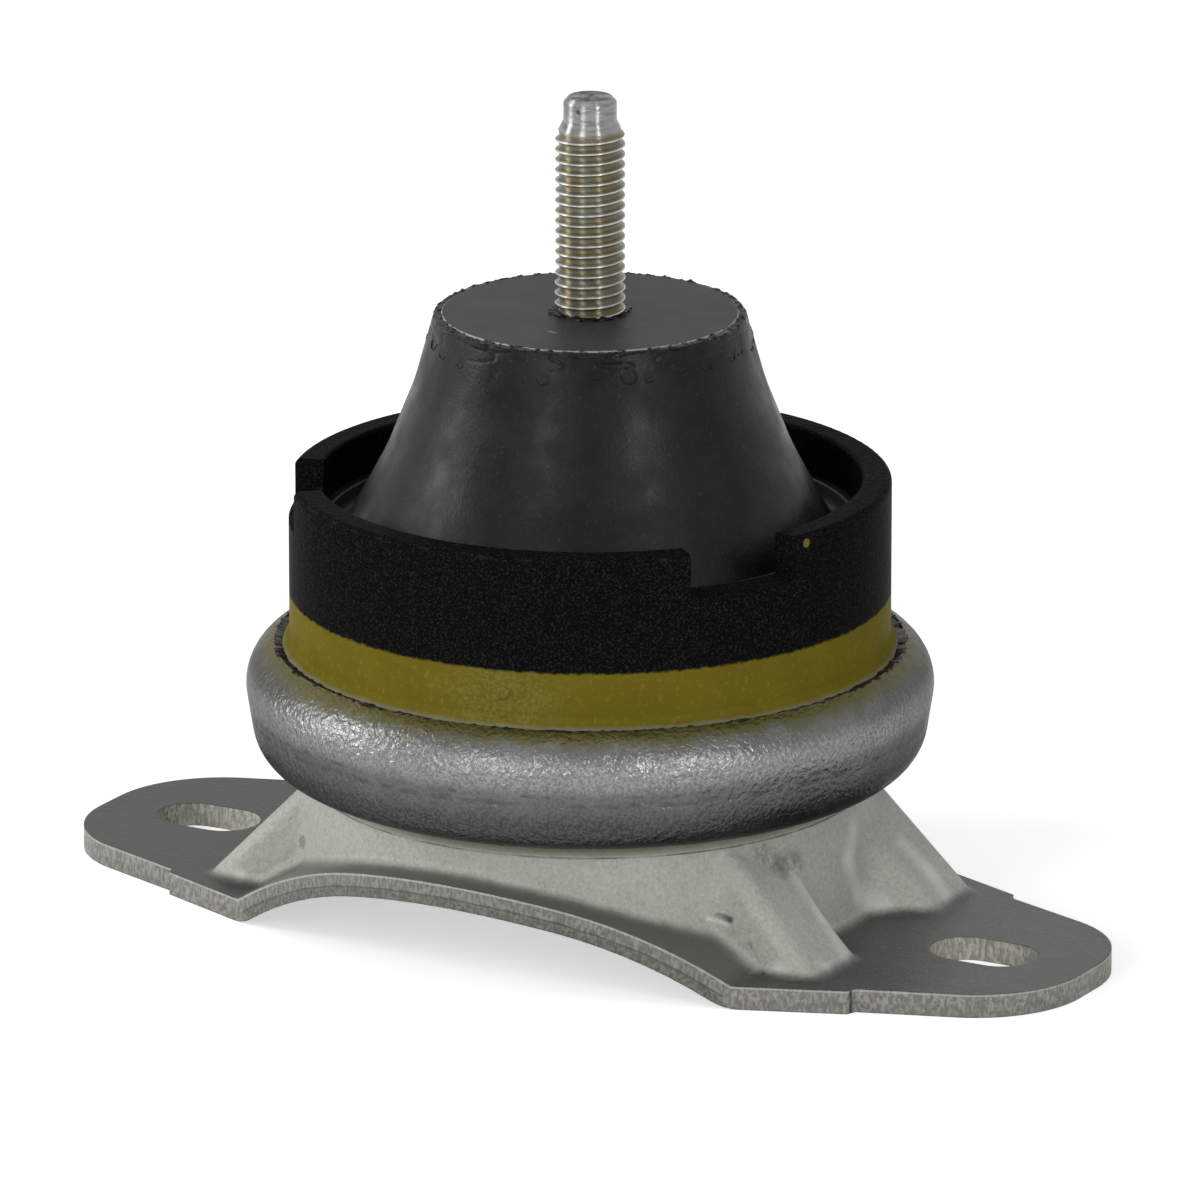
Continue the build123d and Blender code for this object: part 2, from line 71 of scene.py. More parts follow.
def top(node):
    """Highest point of a CAD node in millimetres."""
    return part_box(node)[1][2] / MM


# Sizes of the solids that the scene's own shapes meet, in millimetres
SHEET = 3.4
SADDLE_R = 72.0
DOME_HEIGHT = 6.5
SLOT_X = 64.0
FLANGE_THICKNESS = 3.0
NOTCH_DEPTH = 6.2
ROOF_THICKNESS = 3.2
LINER_TOP_GAP = 0.15
TROUGH_DEPTH = 3.95
DOG_LENGTH = 3.4
THREAD_RUNOUT = 2.3

# Heights that the pieces share with the solids, in millimetres
SEAT_Z = top("base_bracket")
SADDLE_CROWN = SEAT_Z - DOME_HEIGHT
RING_BASE_Z = low("outer_ring")
RING_TOP_Z = top("outer_ring")
FLANGE_TOP_Z = RING_BASE_Z + FLANGE_THICKNESS
NOTCH_FLOOR_Z = RING_TOP_Z - NOTCH_DEPTH
LINER_TOP_Z = NOTCH_FLOOR_Z - LINER_TOP_GAP
CORE_TOP_Z = top("core")
CORE_FOOT_Z = low("core")
RUBBER_TOP_Z = top("rubber_spring")
RUBBER_FOOT_Z = low("rubber_spring")
RUBBER_ROOF_Z = CORE_FOOT_Z - ROOF_THICKNESS
STUD_FOOT_Z = low("stud")
STUD_TIP_Z = top("stud")
DOG_Z = STUD_TIP_Z - DOG_LENGTH
THREAD_TOP_Z = DOG_Z - THREAD_RUNOUT
COATING_FOOT_Z = 48.0

# Radii, in millimetres
RING_R = 43.0
COLLAR_R = 44.0
FLANGE_R = 46.2
RING_BORE_R = 38.8
LINER_R = 37.6
CORE_R = 21.2
SHANK_R = 5.5
CREST_R = 5.0
DOG_R = 3.8

# The rubber's cone: its edge round the disc, and how far it flares a third and two thirds of the way down
RIM_R = CORE_R + 1.0
CONE_HEIGHT = RUBBER_TOP_Z - NOTCH_FLOOR_Z + LINER_TOP_GAP
CONE_FLARE = 2.8
CONE_LOW_FLARE = 6.8


# Shapes

def profile(corners, rounding_steps=5):
    """Mesh holding a closed outline of (radius, height, rounding) in millimetres, in the XZ plane."""
    bm = bmesh.new()
    verts = [bm.verts.new(mm(r, 0, z)) for r, z, rounding in corners]
    for a, b in zip(verts, verts[1:] + verts[:1]):
        bm.edges.new((a, b))
    count = len(corners)
    for i, vert in enumerate(verts):
        rounding = corners[i][2]
        if not rounding:
            continue
        here = Vector(corners[i][:2])
        into = here - Vector(corners[i - 1][:2])
        out = Vector(corners[(i + 1) % count][:2]) - here
        reach = rounding * math.tan(into.angle(out) / 2)
        bmesh.ops.bevel(
            bm, geom=[vert], offset=reach * MM, offset_type="OFFSET", affect="VERTICES",
            segments=rounding_steps, profile=0.5, material=-1,
        )
    return bm


def divide_runs(bm, longest, lowest, highest, nearest):
    """Cuts the long edges of an outline in a band of heights, beyond a radius, so that the skin can be worked."""
    for edge in list(bm.edges):
        middle = (edge.verts[0].co + edge.verts[1].co) / 2 / MM
        cuts = int(edge.calc_length() / (longest * MM))
        if cuts and lowest < middle.z < highest and middle.x > nearest:
            bmesh.ops.subdivide_edges(bm, edges=[edge], cuts=cuts)


def turn(bm, steps, sectors=8):
    """Spins an outline round Z: one sector, then turned copies of it, joined and closed."""
    bmesh.ops.spin(
        bm, geom=bm.verts[:] + bm.edges[:], cent=(0, 0, 0), axis=(0, 0, 1), dvec=(0, 0, 0),
        angle=math.tau / sectors, steps=steps // sectors, use_merge=False, use_duplicate=False,
    )
    sector = bm.verts[:] + bm.edges[:] + bm.faces[:]
    for i in range(1, sectors):
        copied = bmesh.ops.duplicate(bm, geom=sector)["geom"]
        bmesh.ops.rotate(
            bm, verts=[v for v in copied if isinstance(v, bmesh.types.BMVert)], cent=(0, 0, 0),
            matrix=Matrix.Rotation(math.tau * i / sectors, 3, "Z"),
        )
    bmesh.ops.remove_doubles(bm, verts=bm.verts[:], dist=0.0005 * MM)
    bmesh.ops.dissolve_degenerate(bm, edges=bm.edges[:], dist=0.0001 * MM)
    bmesh.ops.recalc_face_normals(bm, faces=bm.faces[:])


def piece(name, bm, material, replaced=(), sharp=32):
    """Object from a finished mesh, riding on the mount, with its material; the CAD nodes it replaces are hidden.
    """
    mesh = bpy.data.meshes.new(name)
    bm.to_mesh(mesh)
    bm.free()
    mesh.shade_smooth()
    mesh.set_sharp_from_angle(angle=math.radians(sharp))
    mesh.materials.append(material)
    made = bpy.data.objects.new(name, mesh)
    bpy.context.scene.collection.objects.link(made)
    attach(made, BODY)
    if replaced:
        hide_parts(*replaced)
    return made


def join(bm, part, place=None):
    """Adds a finished shape to another, moved to its place."""
    made = bpy.data.meshes.new("part")
    part.to_mesh(made)
    part.free()
    if place:
        made.transform(place)
    bm.from_mesh(made)
    bpy.data.meshes.remove(made)


def dress(node, material):
    """Gives a CAD node its finish."""
    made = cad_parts[node]
    made.data.materials.clear()
    made.data.materials.append(material)
    return made


def wobble(point, size, seed=0.0):
    """Smooth noise between about -1 and 1 with features of size millimetres."""
    return noise.noise(point / (size * MM) + Vector((seed, 2.3 * seed, -seed)))


def fade(value, start, end):
    """0 at start, 1 at end, smooth between."""
    share = min(1.0, max(0.0, (value - start) / (end - start)))
    return share * share * (3 - 2 * share)


# Finishes

class Finish:
    """A material with short calls for wiring its nodes; patterns lie on Object coordinates."""

    def __init__(self, name, metallic=0.0, roughness=0.5, specular=0.5):
        self.material = bpy.data.materials.new(name)
        self.material.use_nodes = True
        self.tree = self.material.node_tree
        self.shader = self.tree.nodes["Principled BSDF"]
        self.shader.inputs["Metallic"].default_value = metallic
        self.shader.inputs["Roughness"].default_value = roughness
        self.shader.inputs["Specular IOR Level"].default_value = specular
        self.place = self.node("ShaderNodeTexCoord").outputs["Object"]
        self.bumped = None

    def node(self, kind, inputs=None, **settings):
        """New node with its settings, and its sockets linked or given a value."""
        made = self.tree.nodes.new(kind)
        for key, value in settings.items():
            setattr(made, key, value)
        for key, value in (inputs or {}).items():
            if isinstance(value, bpy.types.NodeSocket):
                self.tree.links.new(value, made.inputs[key])
            else:
                made.inputs[key].default_value = value
        return made

    def grain(self, size, detail=2.0, roughness=0.5, place=None, distortion=0.0):
        """Soft noise whose features are about size millimetres."""
        return self.node("ShaderNodeTexNoise", {
            "Vector": place or self.place, "Scale": 1 / (size * MM), "Detail": detail,
            "Roughness": roughness, "Distortion": distortion,
        }).outputs["Fac"]

    def window(self, value, low, high, start=0.0, end=1.0, smooth=True):
        """Value mapped from low..high to start..end, held at both ends."""
        return self.node("ShaderNodeMapRange", {
            0: value, 1: low, 2: high, 3: start, 4: end,
        }, interpolation_type="SMOOTHSTEP" if smooth else "LINEAR").outputs[0]

    def span(self, value, low, high, start=0.0, end=1.0):
        """Window whose limits are in millimetres."""
        return self.window(value, low * MM, high * MM, start, end)

    def patches(self, size, detail, low, high, start=0.0, end=1.0, **settings):
        """Grain pushed into patches that go from start to end."""
        return self.window(self.grain(size, detail, **settings), low, high, start, end)

    def stray(self, size, detail, reach):
        """Grain about 0, for an edge that wanders by about reach millimetres."""
        return self.both(self.math(self.grain(size, detail), "SUBTRACT", 0.5), reach * MM)

    def math(self, a, operation, b=0.0):
        """One number from two, or from the first alone."""
        return self.node("ShaderNodeMath", {0: a, 1: b}, operation=operation).outputs[0]

    def sum(self, a, b):
        return self.math(a, "ADD", b)

    def both(self, a, b):
        return self.math(a, "MULTIPLY", b)

    def vector(self, operation, a, b):
        """A vector from two, or a number where the operation measures."""
        made = self.node("ShaderNodeVectorMath", {0: a, 1: b}, operation=operation)
        return made.outputs["Value" if operation in ("DISTANCE", "DOT_PRODUCT") else "Vector"]

    def band(self, value, centre, half, soft):
        """1 within half of the centre, falling to 0 over soft, in millimetres."""
        gap = self.math(self.math(value, "SUBTRACT", centre * MM), "ABSOLUTE")
        return self.window(gap, half * MM + soft * MM, half * MM)

    def blend(self, share, first, second):
        """Colour going from first to second with share."""
        mix = self.node("ShaderNodeMix", data_type="RGBA", clamp_factor=True)
        for socket, value in ((0, share), (6, first), (7, second)):
            if isinstance(value, bpy.types.NodeSocket):
                self.tree.links.new(value, mix.inputs[socket])
            else:
                mix.inputs[socket].default_value = value if socket == 0 else (*value, 1)
        return mix.outputs[2]

    def paint(self, under, mask, share, colour):
        """Lays a colour over another where the mask shows, at a share of its strength."""
        return self.blend(self.both(mask, share), under, colour)

    def axes(self):
        """Object X, Y and Z in metres."""
        return self.node("ShaderNodeSeparateXYZ", {0: self.place}).outputs

    def stretched(self, x, y, z):
        """Object coordinates scaled along each axis, for streaks."""
        return self.vector("MULTIPLY", self.place, (x, y, z))

    def length(self, vector):
        """Length of a vector."""
        return self.node("ShaderNodeVectorMath", {0: vector}, operation="LENGTH").outputs["Value"]

    def radius(self):
        """Distance from the stud's axis in metres."""
        return self.length(self.stretched(1, 1, 0))

    def facing_up(self):
        """Z of the surface's normal."""
        normal = self.node("ShaderNodeNewGeometry").outputs["Normal"]
        return self.node("ShaderNodeSeparateXYZ", {0: normal}).outputs[2]

    def spot(self, centre, size, soft=0.5):
        """1 within size millimetres of a point, 0 beyond."""
        gap = self.vector("DISTANCE", self.place, mm(*centre))
        return self.window(gap, size * MM, size * (1 - soft) * MM)

    def stroke(self, start, end, width, place=None):
        """1 on the line between two points, falling to 0 at width millimetres from it."""
        run = mm(*end) - mm(*start)
        along = self.vector("SUBTRACT", place or self.place, mm(*start))
        share = self.window(self.vector("DOT_PRODUCT", along, run / run.length_squared), 0, 1, smooth=False)
        nearest = self.node("ShaderNodeVectorMath", {0: run, "Scale": share}, operation="SCALE").outputs[0]
        return self.window(self.vector("DISTANCE", along, nearest), width * MM, 0)

    def path(self, points, width, place=None):
        """The strokes that join a row of points, one by one."""
        return [self.stroke(start, end, width, place) for start, end in zip(points, points[1:])]

    def colour(self, value):
        """Sets the base colour."""
        if isinstance(value, bpy.types.NodeSocket):
            self.tree.links.new(value, self.shader.inputs["Base Color"])
        else:
            self.shader.inputs["Base Color"].default_value = (*value, 1)

    def rough(self, value):
        """Links the roughness."""
        self.tree.links.new(value, self.shader.inputs["Roughness"])

    def metal(self, value):
        """Links how metallic the surface is."""
        self.tree.links.new(value, self.shader.inputs["Metallic"])

    def turned_marks(self, strength):
        """Draws the gloss out across marks that run round the stud's axis; a quarter turn sets its way."""
        self.shader.inputs["Anisotropic"].default_value = strength
        around = self.node("ShaderNodeTangent", direction_type="RADIAL", axis="Z")
        self.tree.links.new(around.outputs["Tangent"], self.shader.inputs["Tangent"])
        self.shader.inputs["Anisotropic Rotation"].default_value = QUARTER_TURN

    def soften_edges(self, radius):
        """Rounds the look of the edges by radius millimetres."""
        self.bumped = self.node("ShaderNodeBevel", {"Radius": radius * MM}, samples=6).outputs["Normal"]
        self.tree.links.new(self.bumped, self.shader.inputs["Normal"])

    def bump(self, height, depth, strength=1.0):
        """Adds relief, its depth in millimetres; each call lies on top of the one before."""
        made = self.node("ShaderNodeBump", {"Height": height, "Distance": depth * MM, "Strength": strength})
        if self.bumped:
            self.tree.links.new(self.bumped, made.inputs["Normal"])
        self.bumped = made.outputs["Normal"]
        self.tree.links.new(self.bumped, self.shader.inputs["Normal"])


# Painted highlights along the bracket's ridges: path in millimetres, width and strength; they lie on both ends
RIDGE_HIGHLIGHTS = (
    (((39.9, -11.8, 14.2), (44.5, -12.2, 9.2), (49.8, -14.2, 4.0)), 2.6, 0.42),
    (((40.0, 5.5, 16.5), (40.8, 2.4, 12.7), (41.3, 4.5, 7.2), (43.6, 8.0, 4.4)), 2.8, 0.38),
    (((42.5, 16.1, 11.5), (46.2, 17.1, 7.6), (49.9, 16.6, 3.8)), 2.6, 0.42),
    (((44.0, -24.5, 4.8), (49.9, -19.3, 4.4), (50.1, -14.8, 4.2)), 1.6, 0.5),
)
SCUFFS = (
    (((36.8, -16.2, 18.5), (38.4, -13.6, 15.9), (39.1, -10.4, 15.7)), 3.0, 0.42),
    (((39.1, -11.0, 17.2), (39.4, -9.6, 15.2)), 1.2, 0.45),
    (((39.2, -23.9, 7.5), (42.1, -25.1, 3.8)), 0.5, 0.5),
    (((-36.5, -24.0, 12.5), (-38.0, -24.0, 9.0)), 0.4, 0.35),
)
GOUGE = ((34.2, -24.2, 10.8), (35.8, -23.5, 10.3))
GOUGE_LIP = ((33.0, -24.7, 10.4), (35.3, -23.7, 9.7))
TRIM_LINE = ((55.8, -24.5, SHEET), (55.8, -24.5, 0))
# Dark nicks on the bracket: centre in millimetres, radius and strength
NICKS = (
    ((-33.8, -23.9, 11.0), 1.25, 0.4), ((42.1, -25.1, 3.8), 0.5, 0.5), ((-34.9, -24.4, 10.4), 0.5, 0.4),
    ((-57.0, -12.0, SHEET), 0.55, 0.8), ((-40.0, -20.0, 8.0), 0.6, 0.4), ((60.0, 12.5, SHEET), 0.5, 0.7),
    ((52.0, 3.0, SHEET), 0.6, 0.5), ((-70.5, 5.0, SHEET), 0.5, 0.6),
)
# Where the cup's foot meets the bracket: a thin line of painted shade, and above it a yellowish band of painted
# reflected light
PAINTED_SHADE_Z = 20.0
PAINTED_REFLECTION_Z = 20.1
# The cut edge: where the sheared part ends and the torn part starts, over the ground
SHEAR_END_Z = 1.45
# The dark zone round a slot, beyond its own half length and half width
SLOT_ZONE = (9.2, 6.0)

# Marks on the cup, with the heights of its painted highlight and painted shade, in millimetres
CUP_CREASE_R = 48.3
CUP_TINT_Z = 36.2
CUP_HIGHLIGHT_Z = 34.4
CUP_SCUFF_Z = 30.4
CUP_SECOND_SCUFF_Z = 31.7
CUP_SHADED_FOOT_Z = 26.5
CUP_UNDERSIDE_Z = 24.0
CUP_RIM_R = 45.0

# Marks on the sleeve, the core and the stud, with painted highlights among them, in millimetres
SLEEVE_FROST = (9.7, -41.9, 44.0)
SLEEVE_CHIP = (41.4, -11.6, 63.4)
SLEEVE_HIGHLIGHT_Z = 40.3
CORE_BARE_R = 20.93
CORE_SCRATCH = (0.8, -12.3, CORE_TOP_Z)
CREST_BARE_AND_HIGHLIGHT_R = 4.84


def bracket_wall(finish, grains, z, folded):
    """Drawn walls: clouds, specks and grit, a band of painted reflected light over a line of painted shade, and
    painted highlights along the ridges at both ends.
    """
    mottle, speck, grit = grains
    wall = finish.paint(bpy.context.scene.mount_finishes.wall, mottle, 0.5, (0.35, 0.36, 0.315))
    wall = finish.paint(wall, speck, 0.42, (0.54, 0.55, 0.50))
    wall = finish.blend(finish.patches(1.1, 3, 0.50, 0.72, 0, 0.35), wall, (0.27, 0.275, 0.24))
    wall = finish.paint(wall, grit, 0.35, (0.14, 0.14, 0.12))
    # painted reflected light: a yellowish band on the wall just under the cup
    wall = finish.blend(finish.span(z, PAINTED_REFLECTION_Z, 20.4, 0, 0.7), wall, (0.27, 0.262, 0.185))
    # painted shade: a thin dark line where the cup's foot meets the wall
    painted_shade_line = finish.both(finish.band(z, PAINTED_SHADE_Z, 0.04, 0.16), finish.window(mottle, 0, 1, 0.25, 0.75))
    wall = finish.blend(painted_shade_line, wall, (0.05, 0.05, 0.04))
    # painted highlights: light strokes along the ridges, where the light catches them
    for points, width, share in RIDGE_HIGHLIGHTS:
        for stroke in finish.path(points, width, folded):
            wall = finish.paint(wall, stroke, share, (0.72, 0.73, 0.68))
    return wall


def bracket_face(finish, grains, x, bowed):
    """Flats that face up: darker than the walls, partly a burnished finish and partly painted shade; more painted
    shade towards the left ear, lighter along the arch.
    """
    mottle, speck, grit = grains
    face = finish.paint(bpy.context.scene.mount_finishes.flat, speck, 0.55, (0.135, 0.135, 0.12))
    face = finish.paint(face, mottle, 0.4, (0.06, 0.06, 0.052))
    face = finish.paint(face, grit, 0.5, (0.05, 0.05, 0.042))
    # painted shade: the flats grow darker towards the left ear, one side darker for how the light falls
    face = finish.blend(finish.span(x, -25, -50, 0, 0.9), face, (0.038, 0.038, 0.031))
    return finish.paint(face, bowed, 0.7, (0.16, 0.162, 0.138))


def bracket_cut(finish, place, height, drift, bowed, speck, streak):
    """Cut edge of the sheet: streaked and bright where it sheared, dark where it tore, with a painted highlight
    along its top edge, bright in the slots.
    """
    x, y = place
    torn = finish.span(finish.sum(height, drift), 1.5, 1.15)
    bright = finish.blend(bowed, (0.33, 0.325, 0.295), (0.27, 0.27, 0.24))
    cut = finish.paint(bright, streak, 0.62, (0.10, 0.10, 0.085))
    torn_metal = finish.blend(speck, (0.07, 0.07, 0.06), (0.19, 0.188, 0.17))
    cut = finish.blend(finish.both(torn, finish.window(bowed, 0, 1, 0.2, 0.65)), cut, torn_metal)
    line = finish.band(finish.sum(height, finish.both(drift, 0.4)), SHEAR_END_Z, 0.08, 0.14)
    cut = finish.blend(finish.both(line, finish.window(bowed, 0, 1, 0.1, 0.6)), cut, (0.05, 0.05, 0.042))
    # painted highlight: a bright line along the top edge of the cut
    cut = finish.paint(cut, finish.band(height, SHEET - 0.12, 0.12, 0.14), 0.85, (0.46, 0.46, 0.43))
    cut = finish.paint(cut, finish.stroke(*TRIM_LINE, 0.45), 0.9, (0.02, 0.02, 0.018))
    beside = finish.math(finish.math(finish.math(x, "ABSOLUTE"), "SUBTRACT", SLOT_X * MM), "ABSOLUTE")
    at_slot = finish.both(
        finish.span(beside, SLOT_ZONE[0], 8.6), finish.span(finish.math(y, "ABSOLUTE"), SLOT_ZONE[1], 5.6))
    return finish.blend(at_slot, cut, finish.blend(streak, (0.50, 0.49, 0.43), (0.30, 0.30, 0.26)))


def bracket_finish():
    """Blasted steel: light on the drawn walls, darker on the flats that face up, partly a burnished finish and
    partly painted shade, bright at the slots.
    """
    finish = Finish("bracket_blasted_steel", metallic=0.15, roughness=0.55, specular=0.25)
    x, y, z = finish.axes()[:3]
    up = finish.facing_up()
    arch = finish.length(finish.vector("ADD", finish.stretched(1, 0, 1), mm(0, 0, SADDLE_R - SADDLE_CROWN)))
    arch = finish.math(arch, "SUBTRACT", (SADDLE_R - SHEET) * MM)
    height = finish.math(z, "MINIMUM", arch)
    bowed = finish.span(finish.math(z, "SUBTRACT", arch), -0.5, 1.5)
    drift = finish.stray(3, 3, 1.6)
    lip = finish.span(finish.sum(height, finish.both(drift, 0.35)), SHEET + 1.4, SHEET + 0.05)
    # flat marks the faces that look up and the low lip; they take the darker colour, partly a burnished finish
    # and partly painted shade for the little light that faces looking up get
    flat = finish.math(finish.window(up, 0.86, 0.96), "MAXIMUM", lip)
    upright = finish.window(finish.math(up, "ABSOLUTE"), 0.45, 0.25)
    sheared = finish.both(upright, finish.span(height, SHEET + 0.15, SHEET - 0.1))

    speck = finish.patches(0.5, 2, 0.35, 0.7)
    grains = (finish.patches(9, 4, 0.35, 0.65), speck, finish.patches(0.28, 1, 0.62, 0.75))
    folded = finish.node("ShaderNodeCombineXYZ", {0: finish.math(x, "ABSOLUTE"), 1: y, 2: z}).outputs[0]
    skin = finish.blend(
        flat, bracket_wall(finish, grains, z, folded), bracket_face(finish, grains, x, bowed))
    torn_skin = finish.patches(1.3, 4, 0.3, 0.62)
    for points, width, share in SCUFFS:
        for stroke in finish.path(points, width):
            skin = finish.paint(skin, finish.both(stroke, torn_skin), share, (0.045, 0.043, 0.036))
    skin = finish.paint(skin, finish.stroke(*GOUGE_LIP, 0.6), 0.6, (0.75, 0.76, 0.70))
    gouge = finish.stroke(*GOUGE, 0.75)
    skin = finish.paint(skin, gouge, 0.85, (0.035, 0.035, 0.03))
    streak = finish.patches(0.5, 3, 0.36, 0.66, place=finish.stretched(1, 1, 0.5))
    skin = finish.blend(sheared, skin, bracket_cut(finish, (x, y), height, drift, bowed, speck, streak))
    for centre, size, share in NICKS:
        skin = finish.paint(skin, finish.spot(centre, size), share, (0.03, 0.03, 0.025))
    finish.colour(skin)
    finish.rough(finish.window(flat, 0, 1, 0.62, 0.45))
    finish.soften_edges(0.45)
    finish.bump(finish.both(gouge, -1.0), 0.4, 1.0)
    finish.bump(finish.grain(0.55, 2), 0.11, 0.8)
    finish.bump(finish.grain(3.5, 2), 0.16, 0.35)
    finish.bump(finish.both(sheared, streak), 0.2, 0.9)
    return finish.material


def cup_finish():
    """Hammered zinc: yellow by the crease, a painted highlight band round the shoulder, two scuffed lines,
    painted shade towards the foot, a painted reflection on the lower rim, and the pot.
    """
    tone = bpy.context.scene.mount_finishes
    finish = Finish("cup_hammered_zinc", metallic=0.95, roughness=0.33)
    finish.shader.inputs["Specular Tint"].default_value = (0.45, 0.45, 0.45, 1)
    z = finish.axes()[2]
    radius = finish.radius()
    near_crease = finish.span(finish.sum(radius, finish.stray(4, 3, 2.4)), CUP_CREASE_R, 46.0)
    tint = finish.both(near_crease, finish.span(z, CUP_TINT_Z, 37.9))
    height = finish.sum(z, finish.stray(7, 3, 1.2))
    scuff = finish.both(finish.band(height, CUP_SCUFF_Z, 0.12, 0.55), finish.patches(2.2, 3, 0.40, 0.60))
    second = finish.both(finish.band(height, CUP_SECOND_SCUFF_Z, 0.08, 0.35), finish.patches(1.4, 3, 0.5, 0.66))
    # painted shade: the cup is painted darker towards its foot
    foot = finish.span(height, 31.5, CUP_SHADED_FOOT_Z)
    peen = finish.patches(0.42, 2, 0.36, 0.64)
    # painted highlight: a light band all round the shoulder, broken up by the peen
    painted_highlight_band = finish.both(finish.band(height, CUP_HIGHLIGHT_Z, 0.8, 2.4), finish.window(peen, 0, 1, 0.35, 1.0))
    zinc = finish.blend(finish.patches(6, 2, 0.35, 0.65), tone.zinc, (0.125, 0.127, 0.123))
    zinc = finish.paint(zinc, painted_highlight_band, 0.55, (0.38, 0.38, 0.375))
    zinc = finish.paint(zinc, foot, 0.82, (0.030, 0.032, 0.035))
    zinc = finish.paint(zinc, peen, 0.20, (0.24, 0.24, 0.235))
    zinc = finish.paint(zinc, scuff, 0.45, (0.055, 0.046, 0.042))
    zinc = finish.paint(zinc, second, 0.5, (0.06, 0.05, 0.045))
    # painted reflection: a light yellowish band on the lower rim, which faces down
    painted_reflection_rim = finish.both(finish.span(z, CUP_UNDERSIDE_Z, 23.4), finish.span(radius, 44.2, CUP_RIM_R))
    zinc = finish.paint(zinc, painted_reflection_rim, 0.4, (0.19, 0.18, 0.12))
    pot = finish.both(finish.span(z, CUP_UNDERSIDE_Z, 23.2), finish.span(radius, CUP_RIM_R, 44.2))
    zinc = finish.paint(zinc, pot, 0.9, finish.blend(peen, (0.14, 0.14, 0.135), (0.20, 0.20, 0.195)))
    finish.colour(finish.blend(tint, zinc, (0.084, 0.076, 0.020)))
    finish.metal(finish.window(tint, 0, 1, 0.95, 0.55))
    finish.rough(finish.patches(2.5, 2, 0.3, 0.7, 0.28, 0.40))
    finish.bump(finish.grain(0.85, 2, distortion=0.4), 0.28, 0.95)
    finish.bump(finish.grain(0.4, 2), 0.03, 0.6)
    finish.bump(finish.both(finish.sum(scuff, second), -1.0), 0.06, 0.8)
    return finish.material


def ring_finish():
    """Black coat above, yellow-green passivated steel below, with a soft line between them and a painted
    highlight at the foot.
    """
    tone = bpy.context.scene.mount_finishes
    finish = Finish("ring_black_over_olive", metallic=0.0, roughness=0.42, specular=0.003)
    z = finish.axes()[2]
    edge = finish.sum(z, finish.stray(0.9, 2, 0.7))
    coated = finish.span(edge, COATING_FOOT_Z - 0.25, COATING_FOOT_Z + 0.25)
    olive = finish.blend(finish.patches(7, 3, 0.3, 0.7), tone.olive, (0.138, 0.112, 0.012))
    olive = finish.blend(finish.patches(0.8, 2, 0.55, 0.8, 0, 0.5), olive, (0.25, 0.21, 0.04))
    # painted highlight: a light grey line at the foot of the olive band, just above the collar
    foot = finish.span(finish.sum(z, finish.both(finish.grain(3, 2), 0.6 * MM)), 41.0, SLEEVE_HIGHLIGHT_Z)
    olive = finish.paint(olive, foot, 0.8, (0.22, 0.215, 0.165))
    frost = finish.both(finish.spot(SLEEVE_FROST, 13, 0.8), finish.patches(0.45, 3, 0.40, 0.66))
    olive = finish.paint(olive, frost, 0.35, (0.25, 0.24, 0.10))
    black = finish.blend(finish.patches(0.3, 2, 0.50, 0.68), tone.coat, (0.021, 0.0185, 0.018))
    worn = finish.both(
        finish.span(finish.radius(), RING_R - 0.5, RING_R - 0.15),
        finish.both(finish.span(z, RING_TOP_Z - 0.9, RING_TOP_Z - 0.3), finish.patches(1.6, 3, 0.5, 0.7)))
    black = finish.paint(black, worn, 0.5, (0.035, 0.033, 0.03))
    skin = finish.blend(coated, olive, black)
    skin = finish.blend(finish.spot(SLEEVE_CHIP, 0.75, 0.3), skin, (0.17, 0.125, 0.03))
    finish.colour(skin)
    finish.soften_edges(0.4)
    finish.bump(finish.grain(0.75, 2), 0.07, 0.6)
    finish.bump(finish.both(coated, finish.grain(1.1, 2)), 0.13, 0.7)
    finish.bump(coated, 0.06, 1.0)
    return finish.material


def rubber_finish():
    """Moulded natural rubber with a fine grain, dusty clouds and a little bloom."""
    tone = bpy.context.scene.mount_finishes
    finish = Finish("rubber_moulded_black", metallic=0.0, roughness=0.38, specular=0.14)
    cloud = finish.patches(9, 5, 0.38, 0.66, roughness=0.65)
    dust = finish.patches(0.35, 2, 0.5, 0.7)
    speck = finish.patches(0.45, 2, 0.67, 0.76)
    black = finish.paint(tone.rubber, cloud, 0.85, (0.0105, 0.0096, 0.0092))
    black = finish.paint(black, dust, 0.35, (0.02, 0.0185, 0.0175))
    finish.colour(finish.paint(black, speck, 0.6, (0.06, 0.055, 0.05)))
    finish.rough(finish.patches(5, 3, 0.3, 0.7, 0.32, 0.47))
    finish.bump(finish.grain(0.5, 3), 0.045, 0.8)
    finish.bump(finish.grain(4, 2), 0.10, 0.5)
    return finish.material


def core_finish():
    """Phosphated steel: a dull grey-green face with one scratch and a bare bright rim."""
    finish = Finish("core_phosphated", metallic=0.15, roughness=0.5, specular=0.08)
    face = finish.blend(finish.patches(6, 4, 0.35, 0.7), (0.030, 0.0335, 0.0305), (0.040, 0.0435, 0.038))
    face = finish.blend(finish.patches(0.4, 2, 0.55, 0.75, 0, 0.5), face, (0.085, 0.088, 0.075))
    face = finish.blend(finish.patches(1.6, 3, 0.6, 0.72, 0, 0.4), face, (0.06, 0.05, 0.04))
    bare = finish.both(finish.span(finish.radius(), CORE_BARE_R, 21.05), finish.patches(1.0, 3, 0.38, 0.52))
    face = finish.blend(bare, face, (0.36, 0.34, 0.32))
    scratch = finish.vector("SUBTRACT", finish.place, mm(*CORE_SCRATCH))
    scratch = finish.length(finish.vector("MULTIPLY", scratch, (0.45, 2.6, 1)))
    finish.colour(finish.blend(finish.span(scratch, 0.45, 0.25), face, (0.42, 0.40, 0.36)))
    finish.bump(finish.grain(0.35, 2), 0.02, 0.5)
    finish.bump(finish.grain(0.8, 2, place=finish.stretched(1, 0.15, 1)), 0.012, 0.5)
    return finish.material


